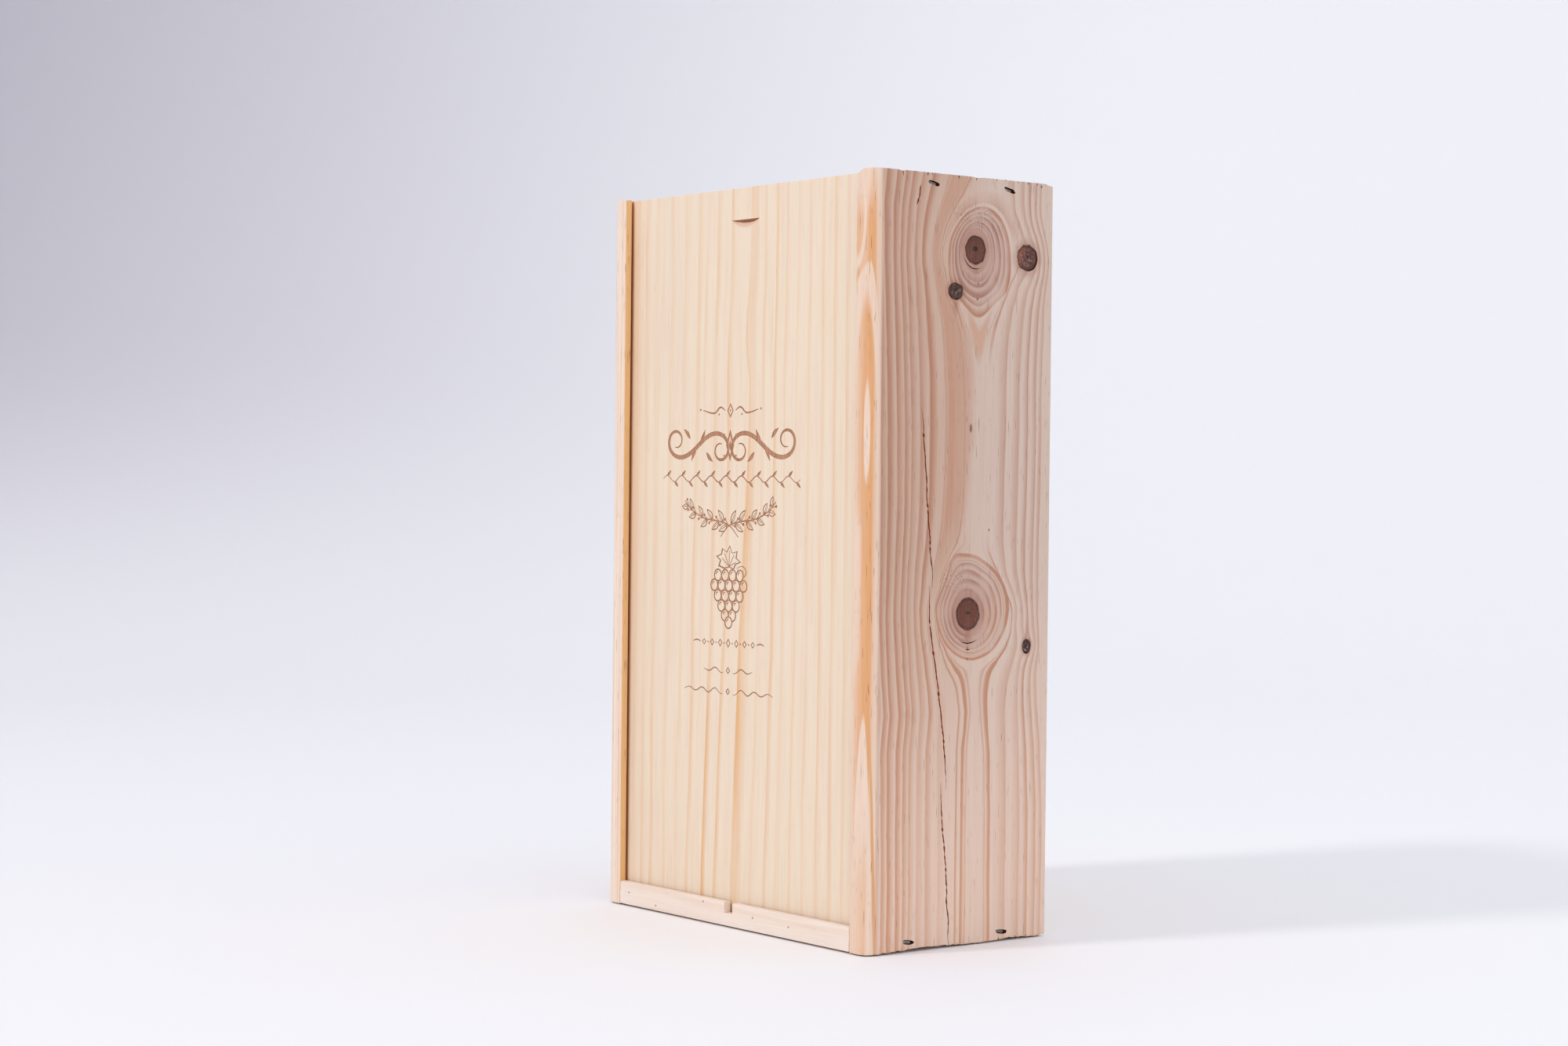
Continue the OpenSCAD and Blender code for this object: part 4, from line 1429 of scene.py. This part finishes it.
lid = {
    "arris": 0.6, "saw": 0.16, "wear": 0.25,
    "margin": 8,  # the ends of the front face stay with the swept board
    "notchWide": 22, "notchHigh": 3.8, "notchAngle": 54, "notchDrop": 15.2, "notchOff": 1.7,
}


def thumbNotch(face, top):
    # A disc's cut, steep above and shallow below: its upper edge, its deepest line and its lower edge
    angle = math.radians(lid["notchAngle"])
    edgeZ = top - lid["notchDrop"]
    dip = lid["notchHigh"] * math.cos(angle)
    half, parts = lid["notchWide"] / 2, 28
    radius = (half ** 2 + dip ** 2) / (2 * dip)
    chord, deepLine, arc = [], [], []
    for k in range(parts + 1):
        u = -half + 2 * half * k / parts
        sink = dip - radius + math.sqrt(radius ** 2 - u ** 2)
        down, inner = sink * math.cos(angle), sink * math.sin(angle)
        across = lid["notchOff"] + u
        chord.append((across, face, edgeZ))
        deepLine.append((across, face + inner, edgeZ - down))
        arc.append((across, face, edgeZ - down - inner * math.tan(angle)))
    return chord, deepLine, arc


def openRim(body):
    # The points round the open rectangle, in order, anticlockwise as seen from the front
    loop = [e for e in body.edges if e.is_boundary]
    nexts = {}
    for edge in loop:
        a, b = edge.verts
        nexts.setdefault(a, []).append(b)
        nexts.setdefault(b, []).append(a)
    start = loop[0].verts[0]
    chain, before = [start], None
    while True:
        following = [v for v in nexts[chain[-1]] if v != before]
        before = chain[-1]
        if following[0] == start or len(chain) > len(nexts):
            break
        chain.append(following[0])
    if anticlockwise([(v.co.x, v.co.z) for v in chain])[0] != (chain[0].co.x, chain[0].co.z):
        chain.reverse()
    return chain


def engravedFace(body, chain, notch, low, high):
    # Closes the face round the engraving, which gets a floor and walls of its own; the notch stays open
    face, deep, near = low.y, engraving["deep"], lid["margin"] + 1
    rim = [Vector((v.co.x, v.co.z)) for v in chain]
    shapes = engravedShapes()
    points, areas = list(rim), [list(range(len(rim)))]
    for outline in [anticlockwise(notch)] + [anticlockwise(s[0]) for s in shapes]:
        areas.append(list(range(len(points), len(points) + len(outline))))
        points += [Vector(p) for p in outline]
    result = delaunay_2d_cdt(points, [], areas, 1, 1e-4)
    flat, tris, origin = result[0], result[2], result[5]
    kinds = []
    for owners in origin:
        top = max((shapes[k - 2][1:] for k in owners if k > 1), default=(0, False))
        kinds.append("notch" if 1 in owners else "cut" if top[1] else "face")
    upper, lower = {}, {}
    for i, spot in enumerate(flat):
        if abs(spot.x) > high.x - 2 or spot.y < low.z + near or spot.y > high.z - near:
            k = min(range(len(rim)), key=lambda k: (rim[k] - spot).length_squared)
            if (rim[k] - spot).length < 1e-3:
                upper[i] = chain[k]

    def vertex(i, isCut):
        table = lower if isCut else upper
        if i not in table:
            table[i] = body.verts.new((flat[i].x, face + deep if isCut else face, flat[i].y))
        return table[i]

    sides = {}
    for tri, kind in zip(tris, kinds):
        if kind == "notch":
            continue
        isCut = kind == "cut"
        body.faces.new([vertex(i, isCut) for i in tri]).material_index = int(isCut)
        for a, b in zip(tri, tri[1:] + tri[:1]):
            sides.setdefault((min(a, b), max(a, b)), []).append(kind)
    for (a, b), found in sides.items():
        if sorted(found) == ["cut", "face"]:
            wall = (vertex(a, False), vertex(b, False), vertex(b, True), vertex(a, True))
            body.faces.new(wall).material_index = 1
    return kinds.count("cut")


def notchFaces(body, lines):
    grid = [[body.verts.new(p) for p in line] for line in lines]
    for one, two, finish in ((grid[0], grid[1], 2), (grid[1], grid[2], 3)):
        for k in range(len(one) - 1):
            distinct = []
            for v in (one[k], one[k + 1], two[k + 1], two[k]):
                if all((v.co - d.co).length > 1e-5 for d in distinct):
                    distinct.append(v)
            if len(distinct) > 2:
                body.faces.new(distinct).material_index = finish


def makeLid():
    low, high, margin = lidLow, lidHigh, lid["margin"]
    face = low.y

    def isOpen(a, b, w):
        isFlat = abs(a.y - face) < 1e-4 and abs(b.y - face) < 1e-4
        return isFlat and low.z + margin - 0.01 < w < high.z - margin - 0.01

    mesh = plankMesh("slidingLid", {
        "corners": panelCorners(low, high, high.y, lid["arris"]), "spacing": 1.8, "grid": 2.4,
        "ends": (low.z, high.z), "saw": lid["saw"], "wear": lid["wear"], "open": isOpen,
    })
    body = bmesh.new()
    body.from_mesh(mesh)
    chord, deepLine, arc = thumbNotch(face, high.z)
    notch = [(p[0], p[2]) for p in chord + arc[-2:0:-1]]
    cut = engravedFace(body, openRim(body), notch, low, high)
    notchFaces(body, (chord, deepLine, arc))
    bmesh.ops.remove_doubles(body, verts=body.verts, dist=1e-3)
    bmesh.ops.recalc_face_normals(body, faces=body.faces)
    body.to_mesh(mesh)
    openEdges = sum(1 for e in body.edges if e.is_boundary)
    body.free()
    woods = [finishes[kind] for kind in ("lid", "scorched", "endGrain", "fresh")]
    addPiece("slidingLid", mesh, woods, "lid", "sliding_lid")
    print("lid made: engraved triangles", cut, "open edges", openEdges)


makeLid()


# The staples keep their own solids and only get a finish
for name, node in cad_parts.items():
    if name.endswith("staples"):
        node.data.materials.clear()
        node.data.materials.append(finishes["steel"])
print("staples finished")


studio = {
    "floor": tint(255, 255, 255),
    "wallShade": tint(184, 180, 188),  # of the wall's left part
    "shadeWay": (-0.62, -0.79),  # the shade grows this way from the box
    "shadeReach": (-600, 2000),  # mm along that way, from none to all of it
    "shadeRise": (-150, 420),  # mm up, from none to all of it
    "flatOut": 1.5,  # metres of level floor round the box
    "bend": 1.5,  # metres, radius of the turn up to the wall
    "wall": 2.2,  # metres, height of the wall
    "world": (0.93, 0.945, 1.03),
    "worldStrength": 0.896,
    "keyTurn": -12,  # degrees, minus to the left of the lid
    "keyHeight": 39,  # degrees above level
    "keyFar": 3.2,  # metres
    "keySize": 0.42,  # metres across
    "keyPower": 109,  # watts
    "keyCone": 100,  # degrees
    "keyBlend": 0.6,
    "keyAim": (0, 0, 0.17),  # metres
    "keyColour": (1.0, 0.965, 0.94),
    "fillAt": (1.75, -0.36, 0.62),  # metres, on the right
    "fillAim": (0.1, 0, 0.06),
    "fillSize": 1.1,
    "fillPower": 1.2,
}


def makeStage():
    level, bend, turns, steps = studio["flatOut"], studio["bend"], 96, 12
    profile = [(0.6, 0), (level, 0)]
    for k in range(1, steps + 1):
        angle = math.pi / 2 * k / steps
        profile.append((level + bend * math.sin(angle), bend * (1 - math.cos(angle))))
    profile.append((level + bend, studio["wall"]))
    body = bmesh.new()
    centre = body.verts.new((0, 0, 0))
    angles = [2 * math.pi * k / turns for k in range(turns)]
    rows = [[body.verts.new((radius * math.cos(a), radius * math.sin(a), height)) for a in angles]
            for radius, height in profile]
    for k in range(turns):
        following = (k + 1) % turns
        body.faces.new((centre, rows[0][k], rows[0][following]))
        for inner, outer in zip(rows, rows[1:]):
            body.faces.new((inner[k], outer[k], outer[following], inner[following]))
    mesh = finishedMesh("studioFloor", body)
    floor = addObject("studioFloor", mesh)
    mesh.shade_smooth()
    material, shader, (x, y, z) = newMaterial("studioWhite")
    wayX, wayY = studio["shadeWay"]
    shade = ease(x * wayX + y * wayY, *studio["shadeReach"]) * ease(z, *studio["shadeRise"])
    plug(shade.tree, shader.inputs["Base Color"], mixed(studio["floor"], studio["wallShade"], shade))
    shader.inputs["Roughness"].default_value = 0.7
    mesh.materials.append(material)


def addLight(name, kind, power, place, aim):
    data = bpy.data.lights.new(name, kind)
    data.energy = power
    light = addObject(name, data)
    light.location = place
    light.rotation_euler = (Vector(aim) - Vector(place)).to_track_quat("-Z", "Y").to_euler()
    light.visible_camera = False
    return data


def makeLights():
    turn, rise = math.radians(studio["keyTurn"]), math.radians(studio["keyHeight"])
    way = Vector((math.sin(turn) * math.cos(rise), -math.cos(turn) * math.cos(rise), math.sin(rise)))
    place = Vector(studio["keyAim"]) + way * studio["keyFar"]
    key = addLight("keyLight", "SPOT", studio["keyPower"], place, studio["keyAim"])
    key.shadow_soft_size = studio["keySize"] / 2
    key.spot_size = math.radians(studio["keyCone"])
    key.spot_blend = studio["keyBlend"]
    key.color = studio["keyColour"]
    fill = addLight("fillLight", "AREA", studio["fillPower"], studio["fillAt"], studio["fillAim"])
    fill.shape = "DISK"
    fill.size = studio["fillSize"]
    world = bpy.data.worlds.new("studioSky")
    world.use_nodes = True
    sky = world.node_tree.nodes["Background"]
    sky.inputs["Color"].default_value = (*studio["world"], 1)
    sky.inputs["Strength"].default_value = studio["worldStrength"]
    bpy.context.scene.world = world
    bpy.context.scene.view_settings.view_transform = "Standard"


makeStage()
makeLights()
print("stage and light set")
